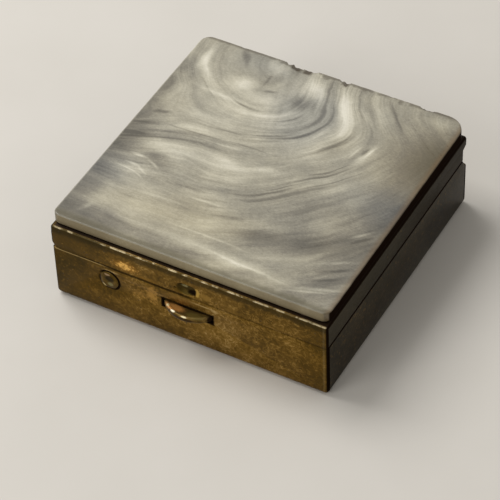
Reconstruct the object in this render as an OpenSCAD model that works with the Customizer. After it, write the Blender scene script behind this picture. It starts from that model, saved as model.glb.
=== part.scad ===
// Square brass pill box with a pearled slab on its lid.
// Millimetres, +Z up, +X to the right along the front, +Y to the back.
// The origin is the centre of the footprint, on the underside of the base.

/* [Box] */
// Width of the box, left to right
box_w = 44.5; // [36:0.5:60]
// Depth of the box, front to back
box_d = 44.5; // [36:0.5:60]
// Height of the base tray
base_h = 9.4; // [8:0.1:16]
// Height of the lid shell, without the slab
lid_h = 4.15; // [3.9:0.05:7]
// Gap between the two rims when shut
rim_gap = 0.06; // [0.04:0.01:0.12]
// Thickness of the brass sheet
sheet_t = 0.45; // [0.35:0.05:0.55]
// Outside radius of the upright corners
corner_r = 0.4; // [0.2:0.05:1.2]
// Outside radius of the folds round the bottom
base_fold_r = 0.9; // [0.6:0.05:1.6]
// Outside radius of the lid's front and side folds
lid_fold_r = 0.4; // [0.2:0.05:0.8]
// Outside radius of the lid's rear fold
rear_fold_r = 0.8; // [0.5:0.05:0.9]

/* [Slab] */
// Thickness of the pearled slab
slab_t = 1.65; // [1.2:0.05:3]
// Distance of the slab's front face behind the lid's front
slab_setback = 0.75; // [0.3:0.05:1.5]
// How far the slab stands out past the back of the box
slab_overhang = 0.6; // [0.1:0.05:0.8]
// Inset of the slab at each side
slab_side_inset = 0.05; // [0.02:0.01:0.6]
// Drift of the glued slab to the left
slab_drift = 0.15; // [0.05:0.05:0.3]
// Corner radius of the slab at the front
slab_front_r = 1.3; // [0.5:0.1:3]
// Corner radius of the slab at the back
slab_rear_r = 1.7; // [0.5:0.1:3]
// Radius of the slab's worn upper edge
slab_edge_r = 0.4; // [0.1:0.05:0.8]
// Thickness of the cement under the slab
cement_t = 0.12; // [0.05:0.01:0.25]
// Inset of the cement from the flat of the lid
cement_inset = 0.25; // [0.1:0.05:1]

/* [Hinge] */
// Diameter of the hinge pin
pin_d = 0.84; // [0.6:0.02:1]
// Radial running clearance round the pin
pin_clear = 0.03; // [0.02:0.01:0.06]
// Number of knuckles, an odd one so that the base holds both ends
knuckles = 5; // [3:2:9]
// Gap between neighbouring knuckles
knuckle_gap = 0.12; // [0.08:0.02:0.3]
// Room at each side between the knuckles and the box's side wall
barrel_side_gap = 1.3; // [0.8:0.1:3]
// Depth of the hinge axis below the base's rim
axis_drop = 0.65; // [0.6:0.05:0.8]
// Gap under the knuckles, down to the base's rear wall
rear_wall_gap = 0.25; // [0.15:0.05:0.4]
// How far the lid's rear wall is set in from the back of the box
rear_inset = 1.2; // [1.15:0.05:1.3]
// Gap between the lid's rear edge and the base's knuckles
edge_clear = 0.07; // [0.05:0.01:0.1]
// Height of the band along the top of the lid's rear wall
rear_band_h = 1.7; // [1.4:0.05:1.9]
// How far that band is set in from the back of the box
rear_band_inset = 0.2; // [0.1:0.05:0.3]
// Height of the sloping step under that band
rear_step_h = 0.45; // [0.3:0.05:0.6]
// Length of the slope at the rear corners of the base's side walls
notch_run = 2.15; // [1.9:0.05:2.6]

/* [Latch] */
// Height of the thumb tab's middle below the base's rim
tab_drop = 2.8; // [2.4:0.1:3.2]
// How far the thumb tab stands out of the front
tab_reach = 1.75; // [1.4:0.05:2.4]
// Radius of the thumb tab's half moon
tab_r = 5; // [4.6:0.1:7]
// Width of the thumb tab where it passes the wall
tab_w = 7.8; // [6:0.1:8.4]
// Thickness of the thumb tab
tab_t = 0.95; // [0.6:0.05:1.1]
// Rounding of the thumb tab's lip
tab_lip_r = 0.3; // [0.1:0.05:0.4]
// Gap between the thumb tab and the slot at each end
slot_side_gap = 0.25; // [0.2:0.05:0.5]
// Gap between the thumb tab and the slot, above and below
slot_rise_gap = 0.375; // [0.2:0.025:0.5]
// Corner radius of the slot
slot_r = 0.2; // [0.1:0.05:0.4]
// Thickness of the leaf spring
spring_t = 0.35; // [0.25:0.05:0.45]
// Height of the leaf spring's strip
spring_h = 3.8; // [3.2:0.1:4.4]
// Gap between the moving arm and the wall in front of it
arm_gap = 0.05; // [0.04:0.01:0.1]
// Length of the arm to the right of the thumb tab's middle
arm_tail = 5.2; // [4.6:0.1:7]
// Distance of the flexing line to the left of the thumb tab's middle
flex_run = 10.5; // [9:0.1:10.8]
// Gap between the fixed foot and the moving arm
flex_gap = 0.1; // [0.06:0.02:0.2]
// Length of the foot to the left of the rivet
foot_lead = 2.6; // [2:0.1:4]
// Corner radius of the spring's ends
spring_end_r = 0.6; // [0.2:0.1:1.2]

/* [Catch] */
// Height of the nib's middle above the lid's rim
nib_rise = 1.35; // [1.3:0.05:1.6]
// Width of the nib pressed into the lid's front
nib_w = 3.4; // [2.6:0.1:4]
// Height of the nib
nib_h = 2.2; // [1.8:0.1:2.3]
// Depth of the nib
nib_depth = 0.5; // [0.35:0.05:0.6]
// Gap between the nib and the window of the spring's tongue
window_gap = 0.2; // [0.15:0.05:0.3]
// Width of the tongue on each side of its window
tongue_side = 0.7; // [0.5:0.1:1.2]
// Gap between the tongue's top and the lid
tongue_headroom = 0.25; // [0.15:0.05:0.4]

/* [Rivet] */
// Distance of the rivet to the left of the thumb tab's middle
rivet_run = 12.9; // [12.6:0.1:14.5]
// Height of the rivet above the thumb tab's middle
rivet_rise = 0.25; // [0:0.05:0.5]
// Diameter of the rivet's head
rivet_head_d = 3.1; // [2.4:0.1:3.4]
// Height of the head's straight rim
rivet_rim_h = 0.14; // [0.08:0.02:0.3]
// Height of the head's dome
rivet_dome_h = 0.3; // [0.15:0.05:0.5]
// Diameter of the dish in the middle of the head
dish_d = 1.5; // [0.8:0.1:1.8]
// Depth of that dish
dish_depth = 0.12; // [0.05:0.01:0.18]
// Diameter of the rivet's shank
shank_d = 1.5; // [1.2:0.1:1.8]
// Clearance round the shank
shank_clear = 0.03; // [0.02:0.01:0.08]
// Diameter of the closed end inside the box
tail_d = 2.4; // [2:0.1:3]
// Height of the closed end
tail_h = 0.32; // [0.2:0.02:0.5]
// Depth of the round seat under the head
seat_depth = 0.1; // [0.05:0.01:0.15]
// Gap round the head in its seat
seat_gap = 0.12; // [0.05:0.01:0.2]

/* [Hidden] */
$fn = 64;
// Overrun of every cut past the face that it opens
cut = 0.4;
// Bevel at the ends of the hinge pin
pin_bevel = 0.1;
// How far the pin stands out of the knuckles at each end
pin_stand = 0.2;

half_w = box_w / 2;
half_d = box_d / 2;
wall_in_y = -half_d + sheet_t;

// Hinge, shared by the base, the lid and the pin
bore_r = pin_d / 2 + pin_clear;
knuckle_r = bore_r + sheet_t;
hinge_y = half_d - knuckle_r;
hinge_z = base_h - axis_drop;
barrel_w = box_w - 2 * sheet_t - 2 * barrel_side_gap;
knuckle_pitch = (barrel_w + knuckle_gap) / knuckles;
knuckle_w = knuckle_pitch - knuckle_gap;
base_rear_h = hinge_z - knuckle_r - rear_wall_gap;

// Lid, from its rim to its top
lid_z = base_h + rim_gap;
lid_top = lid_z + lid_h;
lid_inner_top = lid_top - sheet_t;
rear_y = half_d - rear_inset;
band_y = half_d - rear_band_inset;
band_z = lid_top - rear_band_h;
step_slope = rear_step_h / (band_y - rear_y);
step_lift = sheet_t * sqrt(1 + step_slope * step_slope);
function step_z(y) = band_z - (band_y - y) * step_slope;
rear_edge_rise = sqrt(pow(knuckle_r + edge_clear, 2) - pow(hinge_y - rear_y, 2));

// Slab and cement on the lid
slab_z = lid_top + cement_t;
slab_x0 = -half_w + slab_side_inset - slab_drift;
slab_x1 = half_w - slab_side_inset - slab_drift;
slab_y0 = -half_d + slab_setback;
slab_y1 = half_d + slab_overhang;
cement_x = half_w - lid_fold_r - cement_inset;
cement_y0 = slab_y0 + cement_inset;
cement_y1 = band_y - rear_fold_r - cement_inset;

// Latch, from the thumb tab's height
latch_z = base_h - tab_drop;
slot_w = tab_w + 2 * slot_side_gap;
slot_h = tab_t + 2 * slot_rise_gap;
rivet_x = -rivet_run;
rivet_z = latch_z + rivet_rise;
flex_x = -flex_run;
spring_z0 = rivet_z - spring_h / 2;
spring_z1 = rivet_z + spring_h / 2;
arm_y = wall_in_y + arm_gap;

// Nib: a capsule pressed into the wall, whose inner skin is one sheet away
nib_z = lid_z + nib_rise;
nib_r = (pow(nib_h / 2, 2) + pow(nib_depth, 2)) / (2 * nib_depth);
nib_y = -half_d + nib_depth - nib_r;
nib_straight = nib_w - nib_h;
nib_bump_r = nib_r + sheet_t;
nib_bump_rise = sqrt(pow(nib_bump_r, 2) - pow(wall_in_y - nib_y, 2));
window_w = nib_straight + 2 * nib_bump_rise + 2 * window_gap;
window_h = 2 * nib_bump_rise + 2 * window_gap;
tongue_w = window_w + 2 * tongue_side;
tongue_top = lid_inner_top - tongue_headroom;

// Rivet, from its seat to its closed end
rivet_head_r = rivet_head_d / 2;
seat_y = -half_d + seat_depth;
rivet_grip = sheet_t - seat_depth + spring_t;

brass = [0.55, 0.43, 0.2];
dark_brass = [0.36, 0.28, 0.14];
steel = [0.62, 0.6, 0.56];
pearl = [0.78, 0.76, 0.7];
glue = [0.3, 0.22, 0.12];

// What a rounding of radius r takes off a corner at the origin
module corner_waste(r) {
    difference() {
        translate([-cut, -cut]) square(r + cut);
        translate([r, r]) circle(r);
    }
}

// A rectangle with its own radius at each corner:
// lower left, lower right, upper right, upper left
module soft_rect(x0, x1, y0, y1, radii) {
    difference() {
        translate([x0, y0]) square([x1 - x0, y1 - y0]);
        for (c = [[x0, y0], [x1, y0], [x1, y1], [x0, y1]]) {
            i = (c[0] == x0 ? 0 : 1) + (c[1] == y0 ? 0 : (c[0] == x0 ? 3 : 1));
            if (radii[i] > 0) translate(c) rotate(90 * i) corner_waste(radii[i]);
        }
    }
}

// An outline in Y and Z, drawn out along X
module along_x(length) {
    rotate([90, 0, 90]) linear_extrude(height = length, center = true) children();
}

// An outline in X and Z, drawn out along Y
module along_y(length) {
    rotate([90, 0, 0]) linear_extrude(height = length, center = true) children();
}

// What a fold of radius r takes off an edge along X or along Y
module fold_waste_x(y, z, turn, r) {
    if (r > 0) along_x(box_w + 2 * cut) translate([y, z]) rotate(turn) corner_waste(r);
}
module fold_waste_y(x, z, turn, r) {
    if (r > 0) along_y(box_d + 2 * cut) translate([x, z]) rotate(turn) corner_waste(r);
}

// The base as one block, drawn in by `inset` on every side but the top
module base_block(inset) {
    r = corner_r - inset;
    f = base_fold_r - inset;
    x = half_w - inset;
    y = half_d - inset;
    difference() {
        translate([0, 0, inset])
            linear_extrude(height = base_h - inset + (inset > 0 ? cut : 0))
                soft_rect(-x, x, -y, y, [r, r, r, r]);
        fold_waste_x(-y, inset, 0, f);
        fold_waste_x(y, inset, 90, f);
        fold_waste_y(-x, inset, 0, f);
        fold_waste_y(x, inset, 90, f);
    }
}

// The lid as one block, drawn in by `inset` on every side but the rim
module lid_block(inset) {
    r = corner_r - inset;
    x = half_w - inset;
    y0 = -half_d + inset;
    y1 = band_y - inset;
    top = lid_top - inset;
    low = lid_z - (inset > 0 ? cut : 0);
    lift = inset > 0 ? step_lift : 0;
    difference() {
        translate([0, 0, low])
            linear_extrude(height = top - low)
                soft_rect(-x, x, y0, y1, [r, r, r, r]);
        fold_waste_x(y0, top, 270, lid_fold_r - inset);
        fold_waste_x(y1, top, 180, rear_fold_r - inset);
        fold_waste_y(-x, top, 270, lid_fold_r - inset);
        fold_waste_y(x, top, 180, lid_fold_r - inset);
        along_x(box_w + 2 * cut) polygon([
            [rear_y - inset, low - cut],
            [rear_y - inset, step_z(rear_y - inset) + lift],
            [y1, step_z(y1) + lift],
            [y1 + cut, step_z(y1) + lift],
            [y1 + cut, low - cut]]);
    }
}

// Each knuckle of one leaf: a ring on the axis with a web that joins it to its wall.
// first is 0 for the base and 1 for the lid.
module knuckle_row(first, web_y, web_z0, web_z1) {
    for (i = [first : 2 : knuckles - 1])
        translate([-barrel_w / 2 + i * knuckle_pitch + knuckle_w / 2, 0, 0])
            along_x(knuckle_w) union() {
                translate([hinge_y, hinge_z]) circle(knuckle_r);
                translate([web_y, web_z0]) square([sheet_t, web_z1 - web_z0]);
            }
}

module hinge_bore() {
    translate([0, hinge_y, hinge_z]) rotate([0, 90, 0])
        cylinder(r = bore_r, h = barrel_w + 2 * cut, center = true);
}

// A lying capsule for the nib, of radius r
module nib_capsule(r) {
    translate([0, nib_y, nib_z]) {
        rotate([0, 90, 0]) cylinder(r = r, h = nib_straight, center = true);
        for (side = [-1, 1]) translate([side * nib_straight / 2, 0, 0]) sphere(r);
    }
}

// A round hole or seat through the front wall, from y0 to y1
module front_hole(x, z, r, y0, y1) {
    translate([x, y0, z]) rotate([-90, 0, 0]) cylinder(r = r, h = y1 - y0);
}

// Folded tray with the slot, the rivet's seat and the outer knuckles
module base_tray() {
    color(brass) difference() {
        union() {
            difference() {
                base_block(0);
                base_block(sheet_t);
                along_x(box_w + 2 * cut) polygon([
                    [half_d + cut, base_rear_h],
                    [half_d - sheet_t, base_rear_h],
                    [half_d - notch_run, base_h],
                    [half_d - notch_run, base_h + cut],
                    [half_d + cut, base_h + cut]]);
            }
            knuckle_row(0, half_d - sheet_t, base_rear_h - sheet_t, hinge_z);
        }
        hinge_bore();
        translate([0, wall_in_y, latch_z]) along_y(2 * (sheet_t + cut))
            soft_rect(-slot_w / 2, slot_w / 2, -slot_h / 2, slot_h / 2, [slot_r, slot_r, slot_r, slot_r]);
        front_hole(rivet_x, rivet_z, rivet_head_r + seat_gap, -half_d - cut, seat_y);
        front_hole(rivet_x, rivet_z, shank_d / 2 + shank_clear, -half_d - cut, wall_in_y + cut);
    }
}

// Inverted tray of the lid, with its set-in rear wall, inner knuckles and pressed nib
module lid_shell() {
    color(brass) difference() {
        union() {
            difference() {
                lid_block(0);
                lid_block(sheet_t);
                translate([-barrel_w / 2 - knuckle_gap, rear_y - sheet_t - cut, lid_z - cut])
                    cube([barrel_w + 2 * knuckle_gap, sheet_t + 2 * cut, hinge_z + rear_edge_rise - lid_z + cut]);
            }
            knuckle_row(1, rear_y - sheet_t, hinge_z, hinge_z + rear_edge_rise + sheet_t);
            intersection() {
                nib_capsule(nib_bump_r);
                translate([-nib_w, wall_in_y - sheet_t / 2, lid_z]) cube([2 * nib_w, nib_r, lid_h - sheet_t]);
            }
        }
        nib_capsule(nib_r);
        hinge_bore();
    }
}

// Pearled slab glued on the lid
module pearl_slab() {
    top = slab_z + slab_t;
    color(pearl) difference() {
        translate([0, 0, slab_z]) linear_extrude(height = slab_t)
            soft_rect(slab_x0, slab_x1, slab_y0, slab_y1,
                      [slab_front_r, slab_front_r, slab_rear_r, slab_rear_r]);
        fold_waste_x(slab_y0, top, 270, slab_edge_r);
        fold_waste_x(slab_y1, top, 180, slab_edge_r);
        fold_waste_y(slab_x0, top, 270, slab_edge_r);
        fold_waste_y(slab_x1, top, 180, slab_edge_r);
    }
}

// Thin bed of cement between the slab and the lid
module slab_cement() {
    color(glue) translate([-cement_x, cement_y0, lid_top])
        cube([2 * cement_x, cement_y1 - cement_y0, cement_t]);
}

// Straight wire pin with bevelled ends
module hinge_pin() {
    length = barrel_w + 2 * pin_stand;
    color(steel) translate([0, hinge_y, hinge_z]) rotate([0, 90, 0]) {
        cylinder(d = pin_d, h = length - 2 * pin_bevel, center = true);
        for (side = [0, 180]) rotate([0, side, 0]) translate([0, 0, length / 2 - pin_bevel])
            cylinder(r1 = pin_d / 2, r2 = pin_d / 2 - pin_bevel, h = pin_bevel);
    }
}

// Fixed end of the leaf spring, held by the rivet
module spring_foot() {
    color(dark_brass) difference() {
        translate([0, wall_in_y + spring_t / 2, 0]) along_y(spring_t)
            soft_rect(rivet_x - foot_lead, flex_x - flex_gap / 2, spring_z0, spring_z1,
                      [spring_end_r, 0, 0, spring_end_r]);
        front_hole(rivet_x, rivet_z, shank_d / 2 + shank_clear, wall_in_y - cut, wall_in_y + spring_t + cut);
    }
}

// Moving arm of the leaf spring, with the tongue and the window that holds the nib
module spring_arm() {
    color(dark_brass) translate([0, arm_y + spring_t / 2, 0]) along_y(spring_t) difference() {
        union() {
            soft_rect(flex_x + flex_gap / 2, arm_tail, spring_z0, spring_z1,
                      [0, spring_end_r, spring_end_r, 0]);
            soft_rect(-tongue_w / 2, tongue_w / 2, rivet_z, tongue_top, [0, 0, tongue_side / 2, tongue_side / 2]);
        }
        translate([-window_w / 2, nib_z - window_h / 2]) square([window_w, window_h]);
    }
}

// Half moon with a rounded lip, fixed to the arm and reaching out through the slot
module thumb_tab() {
    color(brass) intersection() {
        translate([0, tab_r - half_d - tab_reach, latch_z]) rotate_extrude()
            soft_rect(0, tab_r, -tab_t / 2, tab_t / 2, [0, tab_lip_r, tab_lip_r, 0]);
        translate([-tab_w / 2, -half_d - 2 * tab_reach, latch_z - tab_t])
            cube([tab_w, arm_y + half_d + 2 * tab_reach, 2 * tab_t]);
    }
}

// Half outline of a round cap of radius r, a straight rim and a dome on it
module cap_outline(r, rim, dome) {
    ball_r = (r * r + dome * dome) / (2 * dome);
    intersection() {
        square([r, rim + dome]);
        translate([0, rim + dome - ball_r]) circle(ball_r);
    }
}

// Rivet that holds the leaf spring, with a dished head outside and its closed end inside
module spring_rivet() {
    dish_r = (pow(dish_d / 2, 2) + dish_depth * dish_depth) / (2 * dish_depth);
    color(brass) translate([rivet_x, seat_y, rivet_z]) rotate([90, 0, 0]) {
        rotate_extrude() difference() {
            cap_outline(rivet_head_r, rivet_rim_h, rivet_dome_h);
            translate([0, rivet_rim_h + rivet_dome_h + dish_r - dish_depth]) circle(dish_r);
        }
        translate([0, 0, -rivet_grip]) cylinder(d = shank_d, h = rivet_grip);
        rotate([180, 0, 0]) translate([0, 0, rivet_grip]) rotate_extrude()
            cap_outline(tail_d / 2, tail_h / 2, tail_h / 2);
    }
}

base_tray();
lid_shell();
pearl_slab();
slab_cement();
hinge_pin();
spring_foot();
spring_arm();
thumb_tab();
spring_rivet();
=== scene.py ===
"""Square brass pill box with a pearled slab on its lid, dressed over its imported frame."""
import logging
import math
from collections.abc import Callable, Sequence
from dataclasses import dataclass, field
from enum import Enum

import bmesh
import bpy
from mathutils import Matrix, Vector, noise


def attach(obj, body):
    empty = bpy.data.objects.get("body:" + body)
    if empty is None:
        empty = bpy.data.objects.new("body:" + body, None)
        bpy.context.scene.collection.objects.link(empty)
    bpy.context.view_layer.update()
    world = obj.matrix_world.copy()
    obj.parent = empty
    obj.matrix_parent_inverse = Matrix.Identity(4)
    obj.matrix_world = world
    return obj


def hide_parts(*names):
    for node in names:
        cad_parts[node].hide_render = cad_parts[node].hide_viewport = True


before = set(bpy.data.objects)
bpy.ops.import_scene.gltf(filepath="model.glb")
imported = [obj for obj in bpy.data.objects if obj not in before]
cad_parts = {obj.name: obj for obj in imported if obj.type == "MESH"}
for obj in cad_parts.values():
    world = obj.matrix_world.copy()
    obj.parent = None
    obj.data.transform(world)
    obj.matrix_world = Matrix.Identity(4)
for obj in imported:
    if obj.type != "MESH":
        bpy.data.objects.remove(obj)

LOG = logging.getLogger("pill_box")
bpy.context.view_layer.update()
MM = 0.001
Value = "Term | bpy.types.NodeSocket | float | str | Sequence[float]"
Point = tuple[float, float, float]
Test = Callable[..., bool]

# Sizes that several pieces or finishes share, in millimetres
HALF_SIDE = 22.25
SHEET = 0.45
RIM = 9.4
RIVET_X = -12.9
RIVET_Z = 6.85
SLOT_Z = 6.6
NIB_Z = 10.81
LID_TOP = 13.61
SEAM_INSET = 0.06
SLAB_LOW = (-22.35, -21.5, 13.73)
SLAB_HIGH = (22.05, 22.85, 15.38)

# How near two places count as one in the tests, and how near a cut merges them, in millimetres
TINY = 0.01
FINE = 0.0001


def tint(code: str) -> tuple[float, float, float, float]:
    """Turns a screen colour into the linear colour that a shader takes.

    Args:
        code: Six hexadecimal digits, red first.

    Returns:
        The linear red, green and blue, and an alpha of 1.
    """
    parts = [int(code[i:i + 2], 16) / 255 for i in (0, 2, 4)]
    linear = [c / 12.92 if c <= 0.04045 else ((c + 0.055) / 1.055) ** 2.4 for c in parts]
    return (linear[0], linear[1], linear[2], 1.0)


# Shader maths


class Term:
    """A number in a shader, which takes part in Python sums."""

    def __init__(self, shader: "Shader", socket: bpy.types.NodeSocket) -> None:
        """Wraps an output of a node."""
        self.shader = shader
        self.socket = socket

    def __add__(self, other: "Term | float") -> "Term":
        """Self plus other."""
        return self.shader.math("ADD", self, other)

    __radd__ = __add__

    def __sub__(self, other: "Term | float") -> "Term":
        """Self minus other."""
        return self.shader.math("SUBTRACT", self, other)

    def __rsub__(self, other: float) -> "Term":
        """Other minus self."""
        return self.shader.math("SUBTRACT", other, self)

    def __mul__(self, other: "Term | float") -> "Term":
        """Self times other."""
        return self.shader.math("MULTIPLY", self, other)

    __rmul__ = __mul__

    def __truediv__(self, other: "Term | float") -> "Term":
        """Self over other."""
        return self.shader.math("DIVIDE", self, other)

    def __rtruediv__(self, other: float) -> "Term":
        """Other over self."""
        return self.shader.math("DIVIDE", other, self)

    def __neg__(self) -> "Term":
        """Minus self."""
        return self.shader.math("MULTIPLY", self, -1.0)

    def __abs__(self) -> "Term":
        """The size of self."""
        return self.shader.math("ABSOLUTE", self)

    def least(self, other: "Term | float") -> "Term":
        """The smaller of self and other."""
        return self.shader.math("MINIMUM", self, other)

    def most(self, other: "Term | float") -> "Term":
        """The larger of self and other."""
        return self.shader.math("MAXIMUM", self, other)

    def rise(self, start: float, end: float, height: float = 1.0) -> "Term":
        """Goes smoothly from 0 at start to height at end, which may be the lower of the two.

        Args:
            start: Where it is 0.
            end: Where it is full.
            height: The full value.

        Returns:
            The smooth step.
        """
        made = self.shader.node("ShaderNodeMapRange", {"interpolation_type": "SMOOTHSTEP"},
                                {"Value": self, "From Min": start, "From Max": end, "To Max": height})
        return Term(self.shader, made.outputs["Result"])

    def near(self, centre: float, reach: float) -> "Term":
        """1 at centre, and 0 from reach on, to both sides."""
        return abs(self - centre).rise(reach, 0.0)


class Shader:
    """A material that is being wired: a Principled surface and what feeds it."""

    def __init__(self, name: str) -> None:
        """Starts an empty material.

        Args:
            name: The material's name.
        """
        self.material = bpy.data.materials.new(name)
        self.material.use_nodes = True
        self.tree = self.material.node_tree
        self.tree.nodes.clear()
        self.surface = self.node("ShaderNodeBsdfPrincipled")
        self.output = self.node("ShaderNodeOutputMaterial", sockets={"Surface": self.surface.outputs["BSDF"]})
        object_place = self.node("ShaderNodeTexCoord").outputs["Object"]
        self.place = self.vector("SCALE", object_place, scale=1 / MM)
        split = self.node("ShaderNodeSeparateXYZ", sockets={"Vector": self.place})
        self.x, self.y, self.z = (Term(self, split.outputs[axis]) for axis in "XYZ")

    def node(self, kind: str, settings: dict | None = None, sockets: dict | None = None) -> bpy.types.Node:
        """Adds one node of any kind.

        Args:
            kind: The node's type.
            settings: Its settings, set before its sockets; "stops" are a colour ramp's stops.
            sockets: Values or links of its inputs, by name or by number.

        Returns:
            The new node.
        """
        made = self.tree.nodes.new(kind)
        for name, value in (settings or {}).items():
            if name == "stops":
                ramp = made.color_ramp
                while len(ramp.elements) < len(value):
                    ramp.elements.new(0.5)
                for element, (place, colour) in zip(ramp.elements, value):
                    element.position, element.color = place, colour
            else:
                setattr(made, name, value)
        self.feed(made, sockets or {})
        return made

    def feed(self, node: bpy.types.Node, sockets: dict) -> None:
        """Sets or links the inputs of a node.

        Args:
            node: The node.
            sockets: Values or links of its inputs, by name or by number.
        """
        for name, value in sockets.items():
            if isinstance(value, Term):
                value = value.socket
            if isinstance(value, bpy.types.NodeSocket):
                self.tree.links.new(value, node.inputs[name])
            else:
                node.inputs[name].default_value = value

    def math(self, operation: str, *values: "Term | float") -> Term:
        """Adds a Math node and gives its result."""
        made = self.node("ShaderNodeMath", {"operation": operation}, dict(enumerate(values)))
        return Term(self, made.outputs[0])

    def vector(self, operation: str, *values: Value, scale: float | None = None) -> bpy.types.NodeSocket:
        """Adds a Vector Math node.

        Args:
            operation: The node's operation.
            *values: What its vector inputs take.
            scale: The factor of a SCALE.

        Returns:
            The vector that comes out.
        """
        sockets: dict = dict(enumerate(values))
        if scale is not None:
            sockets["Scale"] = scale
        return self.node("ShaderNodeVectorMath", {"operation": operation}, sockets).outputs[0]

    def dot(self, value: Value, axis: Point) -> Term:
        """The part of a vector that lies along an axis."""
        made = self.node("ShaderNodeVectorMath", {"operation": "DOT_PRODUCT"}, {0: value, 1: axis})
        return Term(self, made.outputs["Value"])

    def join(self, x: Value, y: Value, z: Value = 0.0) -> bpy.types.NodeSocket:
        """Makes a vector of three numbers."""
        return self.node("ShaderNodeCombineXYZ", sockets={0: x, 1: y, 2: z}).outputs[0]

    def cloud(self, scale: float, detail: float = 3.0, rough: float = 0.55,
              place: bpy.types.NodeSocket | None = None, warp: float = 0.0) -> Term:
        """A soft random pattern, around 0.5.

        Args:
            scale: Spots per unit of place, which is a millimetre by default.
            detail: How many finer layers it has.
            rough: How strong the finer layers are.
            place: Where it is read.
            warp: How far it is distorted.

        Returns:
            The pattern.
        """
        made = self.node("ShaderNodeTexNoise", {"noise_dimensions": "3D"},
                         {"Vector": place or self.place, "Scale": scale, "Detail": detail,
                          "Roughness": rough, "Distortion": warp})
        return Term(self, made.outputs[0])

    def cells(self, scale: float) -> Term:
        """The distance from scattered points, about scale of them to a millimetre."""
        made = self.node("ShaderNodeTexVoronoi", {"feature": "F1"}, {"Vector": self.place, "Scale": scale})
        return Term(self, made.outputs["Distance"])

    def spot(self, centre: Sequence[float], radii: Sequence[float], turn: float = 0.0, height: float = 1.0,
             place: bpy.types.NodeSocket | None = None) -> Term:
        """A soft oval spot.

        Args:
            centre: Its middle.
            radii: Its half sizes.
            turn: Its turn about the third axis, in degrees.
            height: Its value in the middle.
            place: Where it is read.

        Returns:
            The spot, 0 outside.
        """
        away = self.vector("SUBTRACT", place or self.place, (*centre, 0.0)[:3])
        if turn:
            cos, sin = math.cos(math.radians(turn)), math.sin(math.radians(turn))
            axes = ((cos, sin, 0.0), (-sin, cos, 0.0), (0.0, 0.0, 1.0))
            away = self.join(*(self.dot(away, axis) for axis in axes))
        local = self.vector("DIVIDE", away, (*radii, 1.0)[:3])
        length = self.node("ShaderNodeVectorMath", {"operation": "LENGTH"}, {0: local})
        return Term(self, length.outputs["Value"]).rise(1.0, 0.0, height)

    def ramp(self, factor: Term, *stops: tuple[float, str]) -> bpy.types.NodeSocket:
        """Colours a number by stops, each a place from 0 to 1 with its colour, in order."""
        settings = {"stops": [(place, tint(code)) for place, code in stops]}
        return self.node("ShaderNodeValToRGB", settings, {"Fac": factor}).outputs["Color"]

    def mix(self, factor: Value, first: Value, second: Value) -> bpy.types.NodeSocket:
        """Mixes two colours.

        Args:
            factor: How much of the second.
            first: A colour.
            second: A colour, or six hexadecimal digits.

        Returns:
            The mixed colour.
        """
        over = tint(second) if isinstance(second, str) else second
        made = self.node("ShaderNodeMix", {"data_type": "RGBA", "clamp_factor": True},
                         {0: factor, 6: first, 7: over})
        return made.outputs[2]

    def finish(self, colour: Value, roughness: Value, metallic: Value, bump: Term | None = None,
               depth: float = 0.05, strength: float = 1.0, coat: Value = 0.0,
               film: Term | None = None) -> bpy.types.Material:
        """Feeds the surface.

        Args:
            colour: Base colour.
            roughness: Roughness.
            metallic: Metallic.
            bump: Height of the relief, from 0 to 1.
            depth: How many millimetres a relief of 1 stands for.
            strength: Strength of the relief.
            coat: Weight of the clear coat.
            film: How much of a dull dark layer covers the surface, from 0 to 1; it stands for grime and, in
                places, for painted shade.

        Returns:
            The material.
        """
        if film is not None:
            # A dark diffuse layer that stands for grime and for painted shade.
            soot_and_shade = self.node("ShaderNodeBsdfDiffuse", sockets={"Color": tint("190f08")})
            both = self.node("ShaderNodeMixShader", sockets={
                0: film, 1: self.surface.outputs["BSDF"], 2: soot_and_shade.outputs["BSDF"]})
            self.feed(self.output, {"Surface": both.outputs["Shader"]})
        if bump is not None:
            relief = self.node("ShaderNodeBump", sockets={"Height": bump, "Distance": depth * MM,
                                                          "Strength": strength})
            self.feed(self.surface, {"Normal": relief.outputs["Normal"]})
        self.feed(self.surface, {"Base Color": colour, "Roughness": roughness, "Metallic": metallic,
                                 "Coat Weight": coat})
        return self.material


# Finishes


class Leaf(Enum):
    """Which half of the box a sheet of brass belongs to."""

    BASE = "base"
    LID = "lid"


@dataclass(frozen=True)
class Patch:
    """A frayed patch on brass, of another tone; some patches are painted highlights, some painted shade.

    Its fields are its middle and half sizes, how much the mottling frays it, from where to where it rises
    (or None for as it is), its strength and its colour.
    """

    centre: Point
    radii: Point
    fray: float
    edge: tuple[float, float] | None
    strength: float
    code: str

    def lay(self, s: Shader, under: Value, mottle: Term) -> bpy.types.NodeSocket:
        """Lays the patch over a colour.

        Args:
            s: The shader.
            under: The colour so far.
            mottle: The fine mottling, around 0.

        Returns:
            The colour with the patch.
        """
        cover = s.spot(self.centre, self.radii)
        if self.edge:
            cover = (cover + mottle * self.fray).rise(*self.edge)
        return s.mix(cover * self.strength, under, self.code)


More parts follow.
